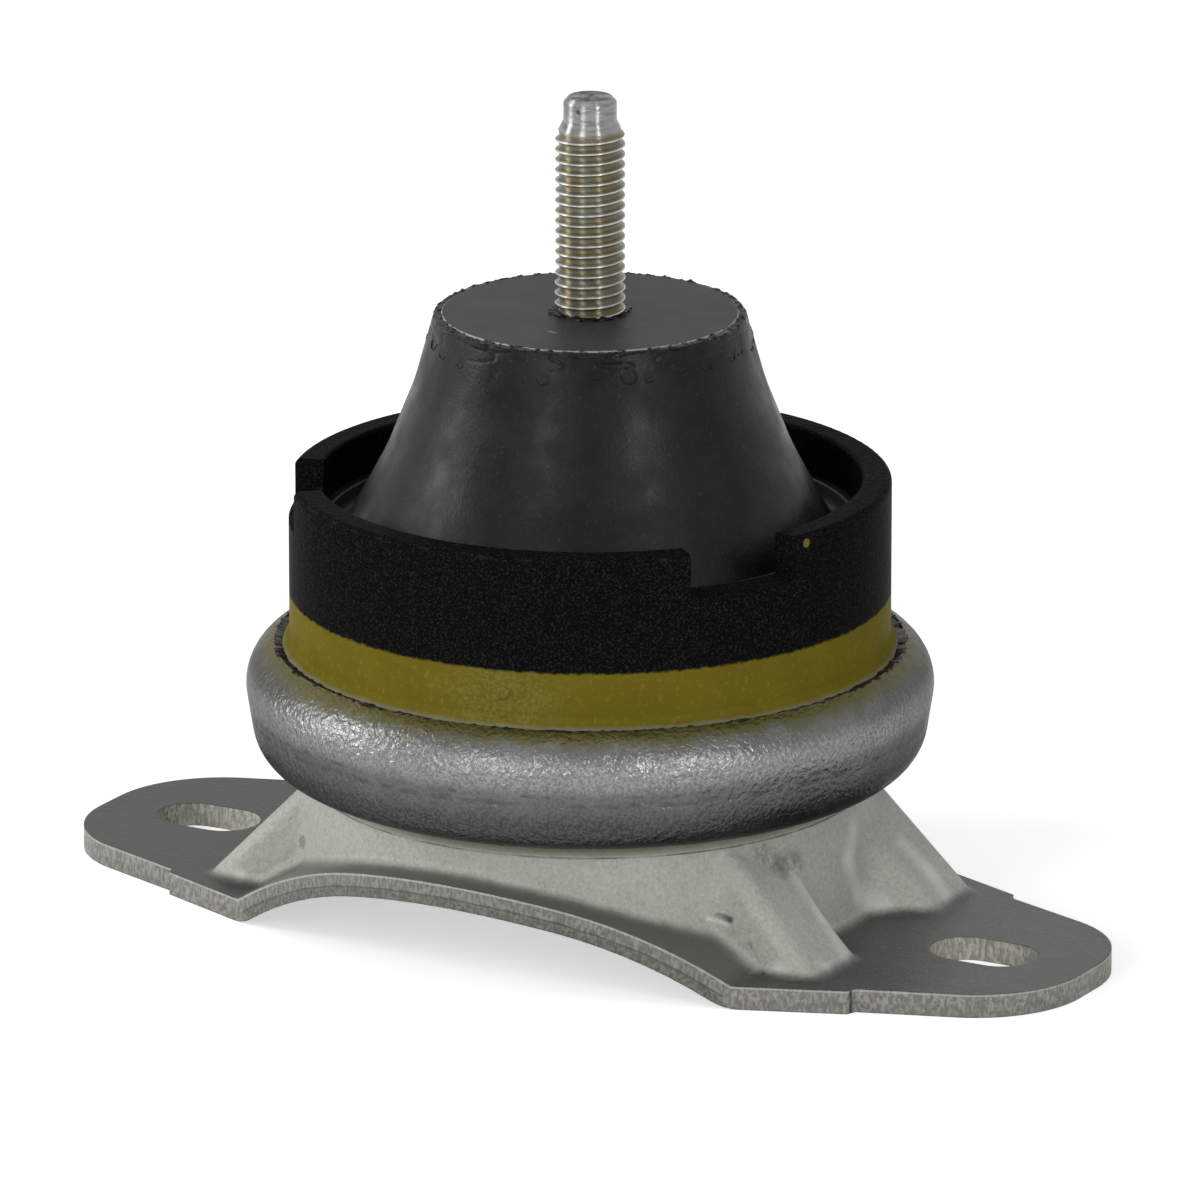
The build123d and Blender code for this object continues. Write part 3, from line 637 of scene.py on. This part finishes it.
def stud_finish():
    """Zinc: bright crests, partly bare and partly a painted highlight, a yellow-brown film in the thread, a
    duller ridged point with a dark end face.
    """
    finish = Finish("stud_bright_zinc", metallic=1.0, roughness=0.24)
    finish.turned_marks(0.97)
    z = finish.axes()[2]
    crest = finish.span(finish.radius(), CREST_BARE_AND_HIGHLIGHT_R, 4.95)
    threaded = finish.span(z, THREAD_TOP_Z + 1.2, THREAD_TOP_Z + 0.4)
    film = finish.both(finish.math(1.0, "SUBTRACT", crest), threaded)
    brown = finish.blend(finish.patches(2.6, 3, 0.32, 0.6), (0.175, 0.18, 0.142), (0.165, 0.142, 0.088))
    # bright zinc: on the crests partly bare metal, partly a painted highlight that keeps them bright all round
    zinc = finish.blend(finish.patches(1.2, 3, 0.35, 0.65), (0.44, 0.44, 0.43), (0.56, 0.56, 0.55))
    plain = finish.span(z, THREAD_TOP_Z + 0.3, THREAD_TOP_Z + 1.0)
    ridge = finish.patches(0.5, 2, 0.35, 0.65, place=finish.stretched(0.15, 0.15, 1))
    zinc = finish.blend(plain, zinc, finish.blend(ridge, (0.30, 0.30, 0.295), (0.20, 0.20, 0.195)))
    end = finish.both(
        finish.window(finish.facing_up(), 0.8, 0.95), finish.span(z, STUD_TIP_Z - 0.6, STUD_TIP_Z - 0.3))
    dark = finish.blend(finish.patches(0.8, 3, 0.42, 0.6), (0.04, 0.04, 0.035), (0.15, 0.15, 0.14))
    zinc = finish.blend(end, zinc, dark)
    nick = finish.both(plain, finish.patches(1.5, 3, 0.62, 0.7))
    zinc = finish.blend(nick, zinc, (0.11, 0.09, 0.07))
    finish.colour(finish.blend(film, zinc, brown))
    finish.rough(finish.window(film, 0, 1, 0.34, 0.42))
    finish.bump(finish.grain(0.5, 2), 0.012, 0.4)
    finish.bump(finish.both(plain, ridge), 0.03, 0.8)
    return finish.material


def plain_finish(name, colour, darker, metallic, roughness, size):
    """Even finish with a little grain, for the pieces inside."""
    finish = Finish(name, metallic=metallic, roughness=roughness)
    finish.colour(finish.blend(finish.patches(size, 3, 0.35, 0.65), colour, darker))
    finish.bump(finish.grain(size / 4, 2), 0.03, 0.4)
    return finish.material


class MountSizes(bpy.types.PropertyGroup):
    """Sizes of the detail that the scene adds."""
    thread_pitch: bpy.props.FloatProperty(
        name="Thread pitch", description="Rise of the stud's thread in one turn",
        default=1.5 * MM, min=0.5 * MM, unit="LENGTH", precision=5)
    thread_root: bpy.props.FloatProperty(
        name="Thread root", description="Radius at the bottom of the thread",
        default=4.38 * MM, unit="LENGTH", precision=5)
    flash: bpy.props.FloatProperty(
        name="Rubber flash", description="How far the rubber's torn edges stray",
        default=0.35 * MM, min=0, unit="LENGTH", precision=5)
    dimple: bpy.props.FloatProperty(
        name="Dimple depth", description="Depth of the round marks that the mould's pins leave",
        default=0.14 * MM, min=0, unit="LENGTH", precision=5)


class MountFinishes(bpy.types.PropertyGroup):
    """Colours of the surfaces that show."""
    wall: bpy.props.FloatVectorProperty(
        name="Bracket wall", description="Blasted walls of the bracket", subtype="COLOR",
        default=(0.395, 0.407, 0.363), min=0, max=1)
    # Bracket flat: the darker colour of the flats that face up, partly their finish and partly painted shade
    flat: bpy.props.FloatVectorProperty(
        name="Bracket flat", description="Burnished flats of the bracket", subtype="COLOR",
        default=(0.085, 0.085, 0.075), min=0, max=1)
    zinc: bpy.props.FloatVectorProperty(
        name="Cup zinc", description="Hammered zinc of the cup", subtype="COLOR",
        default=(0.105, 0.107, 0.105), min=0, max=1)
    olive: bpy.props.FloatVectorProperty(
        name="Passivated steel", description="Yellow-green foot of the sleeve", subtype="COLOR",
        default=(0.160, 0.128, 0.013), min=0, max=1)
    coat: bpy.props.FloatVectorProperty(
        name="Sleeve coat", description="Black coat of the sleeve", subtype="COLOR",
        default=(0.0048, 0.0045, 0.0045), min=0, max=1)
    rubber: bpy.props.FloatVectorProperty(
        name="Rubber", description="Moulded rubber", subtype="COLOR",
        default=(0.0028, 0.0027, 0.0027), min=0, max=1)


class MOUNT_OT_bracket(bpy.types.Operator):
    """Finish the pressed bracket"""
    bl_idname = "mount.bracket"
    bl_label = "Bracket"

    def execute(self, context):
        dress("base_bracket", bracket_finish())
        return {"FINISHED"}


class MOUNT_OT_cup(bpy.types.Operator):
    """Finish the crimped cup"""
    bl_idname = "mount.cup"
    bl_label = "Cup"

    def execute(self, context):
        dress("crimp_cup", cup_finish())
        return {"FINISHED"}


class MOUNT_OT_ring(bpy.types.Operator):
    """Finish the notched sleeve"""
    bl_idname = "mount.ring"
    bl_label = "Sleeve"

    def execute(self, context):
        coat = ring_finish()
        dress("outer_ring", coat)
        piece("sleeve_pips", sleeve_pips(), coat, sharp=60)
        return {"FINISHED"}


class MOUNT_OT_rubber(bpy.types.Operator):
    """Make the rubber spring with its torn edges and the flash round the stud"""
    bl_idname = "mount.rubber"
    bl_label = "Rubber"

    def execute(self, context):
        sizes = context.scene.mount_sizes
        rubber = rubber_finish()
        piece("moulded_rubber", moulded_rubber(sizes.flash, sizes.dimple), rubber,
              ["rubber_spring"], sharp=50)
        piece("stud_flash", stud_flash(sizes.flash), rubber, sharp=60)
        piece("pin_lips", pin_lips(), rubber, sharp=60)
        return {"FINISHED"}


class MOUNT_OT_core(bpy.types.Operator):
    """Finish the core's end face"""
    bl_idname = "mount.core"
    bl_label = "Core"

    def execute(self, context):
        dress("core", core_finish())
        return {"FINISHED"}


class MOUNT_OT_stud(bpy.types.Operator):
    """Make the stud with its thread"""
    bl_idname = "mount.stud"
    bl_label = "Stud"

    def execute(self, context):
        sizes = context.scene.mount_sizes
        bm = threaded_stud(sizes.thread_pitch / MM, sizes.thread_root / MM)
        piece("threaded_stud", bm, stud_finish(), ["stud"], sharp=25)
        return {"FINISHED"}


class MOUNT_OT_inside(bpy.types.Operator):
    """Finish the pieces sealed inside"""
    bl_idname = "mount.inside"
    bl_label = "Inside"

    def execute(self, context):
        steel = plain_finish("inner_pressed_steel", (0.42, 0.42, 0.40), (0.34, 0.34, 0.32), 0.9, 0.4, 4)
        cast = plain_finish("plate_die_cast", (0.52, 0.53, 0.54), (0.45, 0.46, 0.47), 0.9, 0.45, 3)
        soft = plain_finish("rubber_soft_black", (0.012, 0.012, 0.012), (0.008, 0.008, 0.008), 0.0, 0.55, 5)
        for node, material in (
            ("diaphragm_ring", steel), ("upper_channel_plate", steel), ("lower_channel_plate", cast),
            ("diaphragm", soft), ("decoupler", soft),
        ):
            dress(node, material)
        return {"FINISHED"}


# How finely the rubber is turned, and the band of heights that is divided finely for the marks
RUBBER_TURN_STEPS = 640
DIMPLE_BAND = (84.2, 87.6)
# The pins' marks: heights, radii and strengths, the turn from one to the next, their edge and their reach
MARK_HEIGHTS = (84.9, 86.4)
MARK_RADII = (0.75, 1.2)
MARK_STRENGTHS = (0.3, 1.0)
MARK_TURNS = (0.09, 0.36)
MARK_EDGE = 0.16
MARK_REACH = 1.4
LIP_TUBE_R = 0.11
# Where the outline's seal squeezes out as a bead: heights and radii
BEAD_HEIGHTS = (39.2, 41)
BEAD_RADII = (43.9, 45)


def rubber_outline():
    """The rubber cut through on one side: roof, chamber, seal round the flange, liner, trough and cone."""
    return (
        (0, RUBBER_ROOF_Z, 0),
        (9.0, RUBBER_ROOF_Z, 6.0),
        (LINER_R, FLANGE_TOP_Z + 6.2, 3.0),
        (LINER_R, RUBBER_FOOT_Z, 0),
        (46.9, RUBBER_FOOT_Z, 0),
        (47.02, 34.15, 0),
        (46.7, 35.85, 0),
        (45.72, 37.3, 0),
        (44.27, 38.28, 0),
        (44.67, 39.3, 0),
        (44.62, FLANGE_TOP_Z + 3.0, 0.15),
        (COLLAR_R, FLANGE_TOP_Z + 2.6, 0),
        (COLLAR_R, FLANGE_TOP_Z + 0.68, 0),
        (COLLAR_R + 0.68, FLANGE_TOP_Z, 0),
        (FLANGE_R, FLANGE_TOP_Z, 1.2),
        (FLANGE_R, RING_BASE_Z, 0.3),
        (RING_BORE_R, RING_BASE_Z, 0.3),
        (RING_BORE_R, LINER_TOP_Z, 0),
        (LINER_R, LINER_TOP_Z, 0.4),
        (LINER_R - 1.3, LINER_TOP_Z - TROUGH_DEPTH, 1.2),
        (LINER_R - 3.2, LINER_TOP_Z, 15.0),
        (RIM_R + CONE_LOW_FLARE, RUBBER_TOP_Z - CONE_HEIGHT * 2 / 3, 30.0),
        (RIM_R + CONE_FLARE, RUBBER_TOP_Z - CONE_HEIGHT / 3, 30.0),
        (RIM_R, RUBBER_TOP_Z, 0.4),
        (CORE_R, RUBBER_TOP_Z, 0),
        (CORE_R, CORE_TOP_Z - 4.0, 2.0),
        (10.5, CORE_FOOT_Z, 3.0),
        (0, CORE_FOOT_Z, 0),
    )


def pin_marks():
    """Azimuth, height, radius and strength of the round marks of the mould's pins."""
    draw = random.Random(7)
    marks = []
    angle = 0.0
    while angle < math.tau - 0.05:
        height, size, share = (draw.uniform(*limits) for limits in (MARK_HEIGHTS, MARK_RADII, MARK_STRENGTHS))
        marks.append((angle, height, size, share))
        angle += draw.uniform(*MARK_TURNS)
    return marks


def pin_lips():
    """Thin curved lips of rubber pressed up at the lower side of the pin marks."""
    slope = CONE_FLARE / (CONE_HEIGHT / 3)
    bm = bmesh.new()
    for angle, height, size, share in pin_marks():
        tube = bmesh.new()
        bmesh.ops.create_circle(tube, radius=LIP_TUBE_R * MM, segments=8, cap_ends=False)
        bmesh.ops.rotate(tube, verts=tube.verts, cent=(0, 0, 0), matrix=Matrix.Rotation(math.pi / 2, 3, "X"))
        bmesh.ops.translate(tube, verts=tube.verts, vec=mm(size, 0, 0))
        reach = math.radians(80 + 120 * share)
        bmesh.ops.rotate(
            tube, verts=tube.verts, cent=(0, 0, 0), matrix=Matrix.Rotation(-math.pi / 2 - reach / 2, 3, "Z"))
        bmesh.ops.spin(
            tube, geom=tube.verts[:] + tube.edges[:], cent=(0, 0, 0), axis=(0, 0, 1), dvec=(0, 0, 0),
            angle=reach, steps=18, use_merge=False, use_duplicate=False)
        bmesh.ops.holes_fill(tube, edges=[e for e in tube.edges if e.is_boundary], sides=0)
        bmesh.ops.recalc_face_normals(tube, faces=tube.faces)
        surface = RIM_R + slope * (RUBBER_TOP_Z - height)
        join(bm, tube, (
            Matrix.Rotation(angle, 4, "Z") @ Matrix.Translation(mm(surface - 0.04, 0, height))
            @ Matrix.Rotation(math.pi / 2 - math.atan(slope), 4, "Y") @ Matrix.Rotation(math.pi / 2, 4, "Z")))
    return bm


def pin_push(marks, heading, r, z, dimple):
    """How far the pins' marks press the skin in at a point; the lower side of a mark is the deeper one."""
    push = 0.0
    for at, height, size, share in marks:
        aside = ((heading - at + math.pi) % math.tau - math.pi) * r
        if abs(aside) > MARK_REACH or abs(z - height) > MARK_REACH:
            continue
        inside = fade(math.hypot(aside, z - height), size, size - MARK_EDGE)
        low_side = fade(z - height, size, -size)
        push -= dimple * share * inside * (0.25 + 0.75 * low_side)
    return push


def moulded_rubber(flash, dimple):
    """Rubber turned from its outline, then worked: torn rim and bead, pin marks and folds below the rim."""
    bm = profile(rubber_outline())
    divide_runs(bm, 0.21, DIMPLE_BAND[0] - 1.2, RUBBER_TOP_Z + 0.5, CORE_R + 0.3)
    divide_runs(bm, 1.6, NOTCH_FLOOR_Z - 6, DIMPLE_BAND[0], CORE_R + 1.2)
    turn(bm, RUBBER_TURN_STEPS)
    marks = pin_marks()
    for vert in bm.verts:
        r = vert.co.xy.length / MM
        z = vert.co.z / MM
        if r < 1:
            continue
        out = Vector((vert.co.x, vert.co.y, 0)).normalized()
        if DIMPLE_BAND[0] - 1 < z < RUBBER_TOP_Z + 0.1 and r > CORE_R + 0.5:
            push = pin_push(marks, math.atan2(vert.co.y, vert.co.x) % math.tau, r, z, dimple)
            fold = abs(wobble(Vector((vert.co.x * 0.35, vert.co.y * 0.35, vert.co.z * 1.6)), 2.2, 3))
            push -= flash * 0.45 * fade(fold, 0.10, 0.0) * fade(z, 85.5, 86.5)
            vert.co += out * push
        if z > RUBBER_TOP_Z - 0.25 and r > CORE_R - 0.1:
            tear = wobble(vert.co, 1.3, 1) + 0.7 * wobble(vert.co, 0.5, 5)
            vert.co.z += flash * max(0.0, tear) * 1.1
            vert.co += out * flash * 0.5 * wobble(vert.co, 1.6, 9)
        if BEAD_HEIGHTS[0] < z < BEAD_HEIGHTS[1] and BEAD_RADII[0] < r < BEAD_RADII[1]:
            tear = wobble(vert.co, 1.1, 2) + 0.8 * wobble(vert.co, 0.45, 6)
            vert.co.z += flash * (0.3 + 0.9 * tear)
            if r > COLLAR_R + 0.2:
                vert.co += out * flash * (1.6 + 1.3 * tear)
    return bm


# The runs on the sleeve: azimuth in degrees, then height, radius and depth of the hollow in millimetres
SLEEVE_RUNS = ((-77.0, 44.75, 1.05, 0.4), (-76.8, 41.1, 0.7, 0.15))


def sleeve_pips():
    """Small runs of the passivation: a burst bubble on the band and a drop at its foot."""
    bm = bmesh.new()
    for azimuth, height, size, hollow in SLEEVE_RUNS:
        drop = profile((
            (0, -0.3, 0), (size, -0.3, 0), (size, -0.02, 0), (0.75 * size, 0.32 * size, 0.2 * size),
            (hollow * size, 0.30 * size, 0.1), (0, 0.30 * size - 0.4 * hollow, 0),
        ))
        turn(drop, 32)
        for vert in drop.verts:
            vert.co.xy *= 1 + 0.16 * wobble(vert.co, 0.8, azimuth)
        join(bm, drop, (
            Matrix.Rotation(math.radians(azimuth), 4, "Z") @ Matrix.Translation(mm(RING_R, 0, height))
            @ Matrix.Rotation(math.radians(90), 4, "Y")))
    return bm


def stud_flash(flash):
    """Ragged collar of rubber that crept up round the stud."""
    bm = profile((
        (4.6, CORE_TOP_Z - 0.6, 0), (5.45, CORE_TOP_Z - 0.6, 0), (5.45, CORE_TOP_Z + 0.01, 0),
        (6.05, CORE_TOP_Z + 0.01, 0), (5.95, CORE_TOP_Z + 0.3, 0.1), (5.3, CORE_TOP_Z + 0.42, 0.1),
        (4.6, CORE_TOP_Z + 0.3, 0),
    ))
    turn(bm, 240)
    for vert in bm.verts:
        out = Vector((vert.co.x, vert.co.y, 0)).normalized()
        r = vert.co.xy.length / MM
        if r > 5.6:
            tear = wobble(vert.co, 1.8, 4) + 0.8 * wobble(vert.co, 0.6, 8)
            vert.co += out * flash * (1.9 * tear - 0.9)
        if vert.co.z > (CORE_TOP_Z + 0.1) * MM:
            vert.co.z += flash * 0.8 * wobble(vert.co, 1.0, 3)
    return bm


# How finely the stud is turned, and the chamfers at its ends
THREAD_STEPS = 96
SHANK_CHAMFER = 0.8
DOG_CHAMFER = 0.7


def threaded_stud(pitch, root_r):
    """Shank, rolled thread run out into a cone, and the dog point, turned and joined end to end."""
    slope = (CREST_R - DOG_R) / (DOG_Z - THREAD_TOP_Z)
    bm = thread_winding(pitch, root_r)
    trim_thread(bm, root_r, slope)
    for outline in stud_ends(root_r, slope):
        end_piece = profile(outline)
        turn(end_piece, THREAD_STEPS)
        join(bm, end_piece)
    return bm


def thread_winding(pitch, root_r):
    """The thread's outline, wound round the axis beyond both of its ends."""
    start = CORE_TOP_Z - 1.2 * pitch
    turns = int((THREAD_TOP_Z - CORE_TOP_Z) / pitch) + 4
    bm = bmesh.new()
    last = None
    for i in range(turns):
        foot = start + i * pitch
        for r, share in (
            (root_r, 0.0), (root_r + 0.06, 0.17), (CREST_R, 0.44), (CREST_R, 0.52), (root_r + 0.06, 0.79),
        ):
            vert = bm.verts.new(mm(r, 0, foot + share * pitch))
            if last:
                bm.edges.new((last, vert))
            last = vert
    end = bm.verts.new(mm(root_r, 0, start + turns * pitch))
    bm.edges.new((last, end))
    bmesh.ops.spin(
        bm, geom=bm.verts[:] + bm.edges[:], cent=(0, 0, 0), axis=(0, 0, 1),
        dvec=(0, 0, pitch * MM / THREAD_STEPS), angle=math.tau, steps=THREAD_STEPS,
        use_merge=False, use_duplicate=False,
    )
    bmesh.ops.remove_doubles(bm, verts=bm.verts[:], dist=0.002 * MM)
    return bm


def trim_thread(bm, root_r, slope):
    """Cuts the thread at the core's face and at the point, runs it out at both and closes it."""
    runout = THREAD_TOP_Z + (CREST_R - root_r) / slope + 0.1
    for height, keep in ((CORE_TOP_Z + 0.02, 1), (runout, -1)):
        bmesh.ops.bisect_plane(
            bm, geom=bm.verts[:] + bm.edges[:] + bm.faces[:], plane_co=mm(0, 0, height), plane_no=(0, 0, -keep),
            clear_outer=True, dist=0.0001 * MM,
        )
    for vert in bm.verts:
        r = vert.co.xy.length / MM
        z = vert.co.z / MM
        limit = min(CREST_R, CREST_R - (z - THREAD_TOP_Z) * slope, root_r + (z - CORE_TOP_Z) * 4 + 0.3)
        if r > limit:
            vert.co.xy *= limit / r
    bmesh.ops.holes_fill(bm, edges=[e for e in bm.edges if e.is_boundary], sides=0)
    bmesh.ops.recalc_face_normals(bm, faces=bm.faces[:])


def stud_ends(root_r, slope):
    """Outlines of the shank that sits in the core and of the point above the thread."""
    waist_r = root_r - 0.1
    neck_r = root_r - 0.05
    shank = (
        (0, STUD_FOOT_Z, 0), (SHANK_R - SHANK_CHAMFER, STUD_FOOT_Z, 0), (SHANK_R, STUD_FOOT_Z + SHANK_CHAMFER, 0),
        (SHANK_R, CORE_TOP_Z - 0.7, 0), (waist_r, CORE_TOP_Z - 0.7, 0), (waist_r, CORE_TOP_Z + 0.3, 0),
        (0, CORE_TOP_Z + 0.3, 0),
    )
    point = (
        (0, THREAD_TOP_Z + 1, 0), (neck_r, THREAD_TOP_Z + 1, 0),
        (neck_r, THREAD_TOP_Z + (CREST_R - neck_r) / slope, 0), (DOG_R, DOG_Z, 0.5),
        (DOG_R, STUD_TIP_Z - DOG_CHAMFER, 0.5), (DOG_R - DOG_CHAMFER, STUD_TIP_Z, 0.12), (0, STUD_TIP_Z, 0),
    )
    return shank, point


LAMPS = (
    # name, azimuth and elevation in degrees, distance, width, height, brightness
    ("softbox_left", 206, 20, 1.3, 0.40, 0.52, 11.0),
    ("softbox_right", 332, 21, 1.3, 0.17, 0.52, 15.0),
    ("softbox_front", 270, 21, 1.3, 0.32, 0.60, 6.4),
    ("softbox_back", 160, 40, 1.4, 0.50, 0.50, 1.6),
    ("softbox_top", 292, 74, 1.4, 0.40, 0.40, 1.8),
)


# The camera that stands where the photograph was taken from, in metres and degrees
CAMERA_PLACE = (0.88484, -1.56749, 0.58664)
CAMERA_TILT = 73.28
CAMERA_HEADING = 29.4
CAMERA_LENS = 394.7
CAMERA_SENSOR = 36
# What the lamps point at, half the floor's side in metres, and how far the floor lies under the ears
AIM = mm(0, 0, 50)
FLOOR_HALF = 6
FLOOR_DROP = 0.02


class MOUNT_OT_stage(bpy.types.Operator):
    """Set up the pale floor, the studio light and the camera"""
    bl_idname = "mount.stage"
    bl_label = "Stage"

    def execute(self, context):
        scene = context.scene
        scene.view_settings.view_transform = "Standard"
        lay_floor(scene)
        light_world(scene)
        hang_softboxes(scene)
        place_camera(scene)
        return {"FINISHED"}


def lay_floor(scene):
    """White floor that takes a soft shadow and is clear from below."""
    bm = bmesh.new()
    bmesh.ops.create_grid(bm, x_segments=1, y_segments=1, size=FLOOR_HALF)
    mesh = bpy.data.meshes.new("floor")
    bm.to_mesh(mesh)
    bm.free()
    floor = bpy.data.objects.new("floor", mesh)
    scene.collection.objects.link(floor)
    pale = Finish("floor_pale", roughness=0.9, specular=0.1)
    pale.colour((0.86, 0.86, 0.86))
    pale.shader.inputs["Emission Color"].default_value = (1, 1, 1, 1)
    pale.tree.links.new(pale.both(seen_directly(pale.tree), 0.55), pale.shader.inputs["Emission Strength"])
    clear = pale.node("ShaderNodeBsdfTransparent").outputs[0]
    behind = pale.node("ShaderNodeNewGeometry").outputs["Backfacing"]
    sided = pale.node("ShaderNodeMixShader", {0: behind, 1: pale.shader.outputs[0], 2: clear}).outputs[0]
    pale.tree.links.new(sided, pale.tree.nodes["Material Output"].inputs["Surface"])
    mesh.materials.append(pale.material)
    floor.location.z = -FLOOR_DROP * MM


def light_world(scene):
    """White backdrop for the camera, grey fill light for everything else."""
    world = bpy.data.worlds.new("studio")
    scene.world = world
    world.use_nodes = True
    tree = world.node_tree
    tree.nodes.clear()
    out = tree.nodes.new("ShaderNodeOutputWorld")
    shown = tree.nodes.new("ShaderNodeBackground")
    fill = tree.nodes.new("ShaderNodeBackground")
    fill.inputs["Color"].default_value = (0.32, 0.32, 0.32, 1)
    shown.inputs["Color"].default_value = (1, 1, 1, 1)
    mix = tree.nodes.new("ShaderNodeMixShader")
    tree.links.new(seen_directly(tree), mix.inputs[0])
    tree.links.new(fill.outputs[0], mix.inputs[1])
    tree.links.new(shown.outputs[0], mix.inputs[2])
    tree.links.new(mix.outputs[0], out.inputs[0])


def hang_softboxes(scene):
    """Plain area lamps, each turned towards the mount."""
    for name, azimuth, elevation, distance, width, height, brightness in LAMPS:
        light = bpy.data.lights.new(name, "AREA")
        light.shape = "RECTANGLE"
        light.size = width
        light.size_y = height
        light.energy = brightness * math.pi * width * height
        lamp = bpy.data.objects.new(name, light)
        scene.collection.objects.link(lamp)
        lift = Matrix.Rotation(-math.radians(elevation), 3, "Y")
        turned = Matrix.Rotation(math.radians(azimuth), 3, "Z") @ lift
        lamp.location = AIM + turned @ Vector((distance, 0, 0))
        lamp.rotation_euler = (AIM - lamp.location).to_track_quat("-Z", "Y").to_euler()


def place_camera(scene):
    """Camera at the photograph's place."""
    data = bpy.data.cameras.new("camera")
    data.lens = CAMERA_LENS
    data.sensor_width = CAMERA_SENSOR
    camera = bpy.data.objects.new("camera", data)
    scene.collection.objects.link(camera)
    camera.location = CAMERA_PLACE
    camera.rotation_euler = (math.radians(CAMERA_TILT), 0, math.radians(CAMERA_HEADING))
    scene.camera = camera


def seen_directly(tree):
    """1 for rays that come straight, mirrored or through glass to the camera."""
    path = tree.nodes.new("ShaderNodeLightPath")
    share = path.outputs["Is Camera Ray"]
    for kind in ("Is Glossy Ray", "Is Transmission Ray"):
        either = tree.nodes.new("ShaderNodeMath")
        either.operation = "MAXIMUM"
        tree.links.new(share, either.inputs[0])
        tree.links.new(path.outputs[kind], either.inputs[1])
        share = either.outputs[0]
    return share


class MOUNT_PT_panel(bpy.types.Panel):
    """Lists the sizes, the colours and the steps"""
    bl_label = "Engine mount"
    bl_idname = "MOUNT_PT_panel"
    bl_space_type = "VIEW_3D"
    bl_region_type = "UI"
    bl_category = "Mount"

    def draw(self, context):
        for group in (context.scene.mount_sizes, context.scene.mount_finishes):
            for key in group.__annotations__:
                self.layout.prop(group, key)
        for step in STEPS:
            self.layout.operator(step.bl_idname)


STEPS = (
    MOUNT_OT_stage, MOUNT_OT_bracket, MOUNT_OT_cup, MOUNT_OT_ring, MOUNT_OT_rubber, MOUNT_OT_core,
    MOUNT_OT_stud, MOUNT_OT_inside,
)
CLASSES = (MountSizes, MountFinishes, *STEPS, MOUNT_PT_panel)


def register():
    for kind in CLASSES:
        bpy.utils.register_class(kind)
    bpy.types.Scene.mount_sizes = bpy.props.PointerProperty(type=MountSizes)
    bpy.types.Scene.mount_finishes = bpy.props.PointerProperty(type=MountFinishes)


def unregister():
    del bpy.types.Scene.mount_finishes
    del bpy.types.Scene.mount_sizes
    for kind in reversed(CLASSES):
        bpy.utils.unregister_class(kind)


def main():
    register()
    bpy.ops.mount.stage()
    bpy.ops.mount.bracket()
    bpy.ops.mount.cup()
    bpy.ops.mount.ring()
    bpy.ops.mount.rubber()
    bpy.ops.mount.core()
    bpy.ops.mount.stud()
    bpy.ops.mount.inside()
    bpy.context.view_layer.update()


if __name__ == "__main__":
    main()
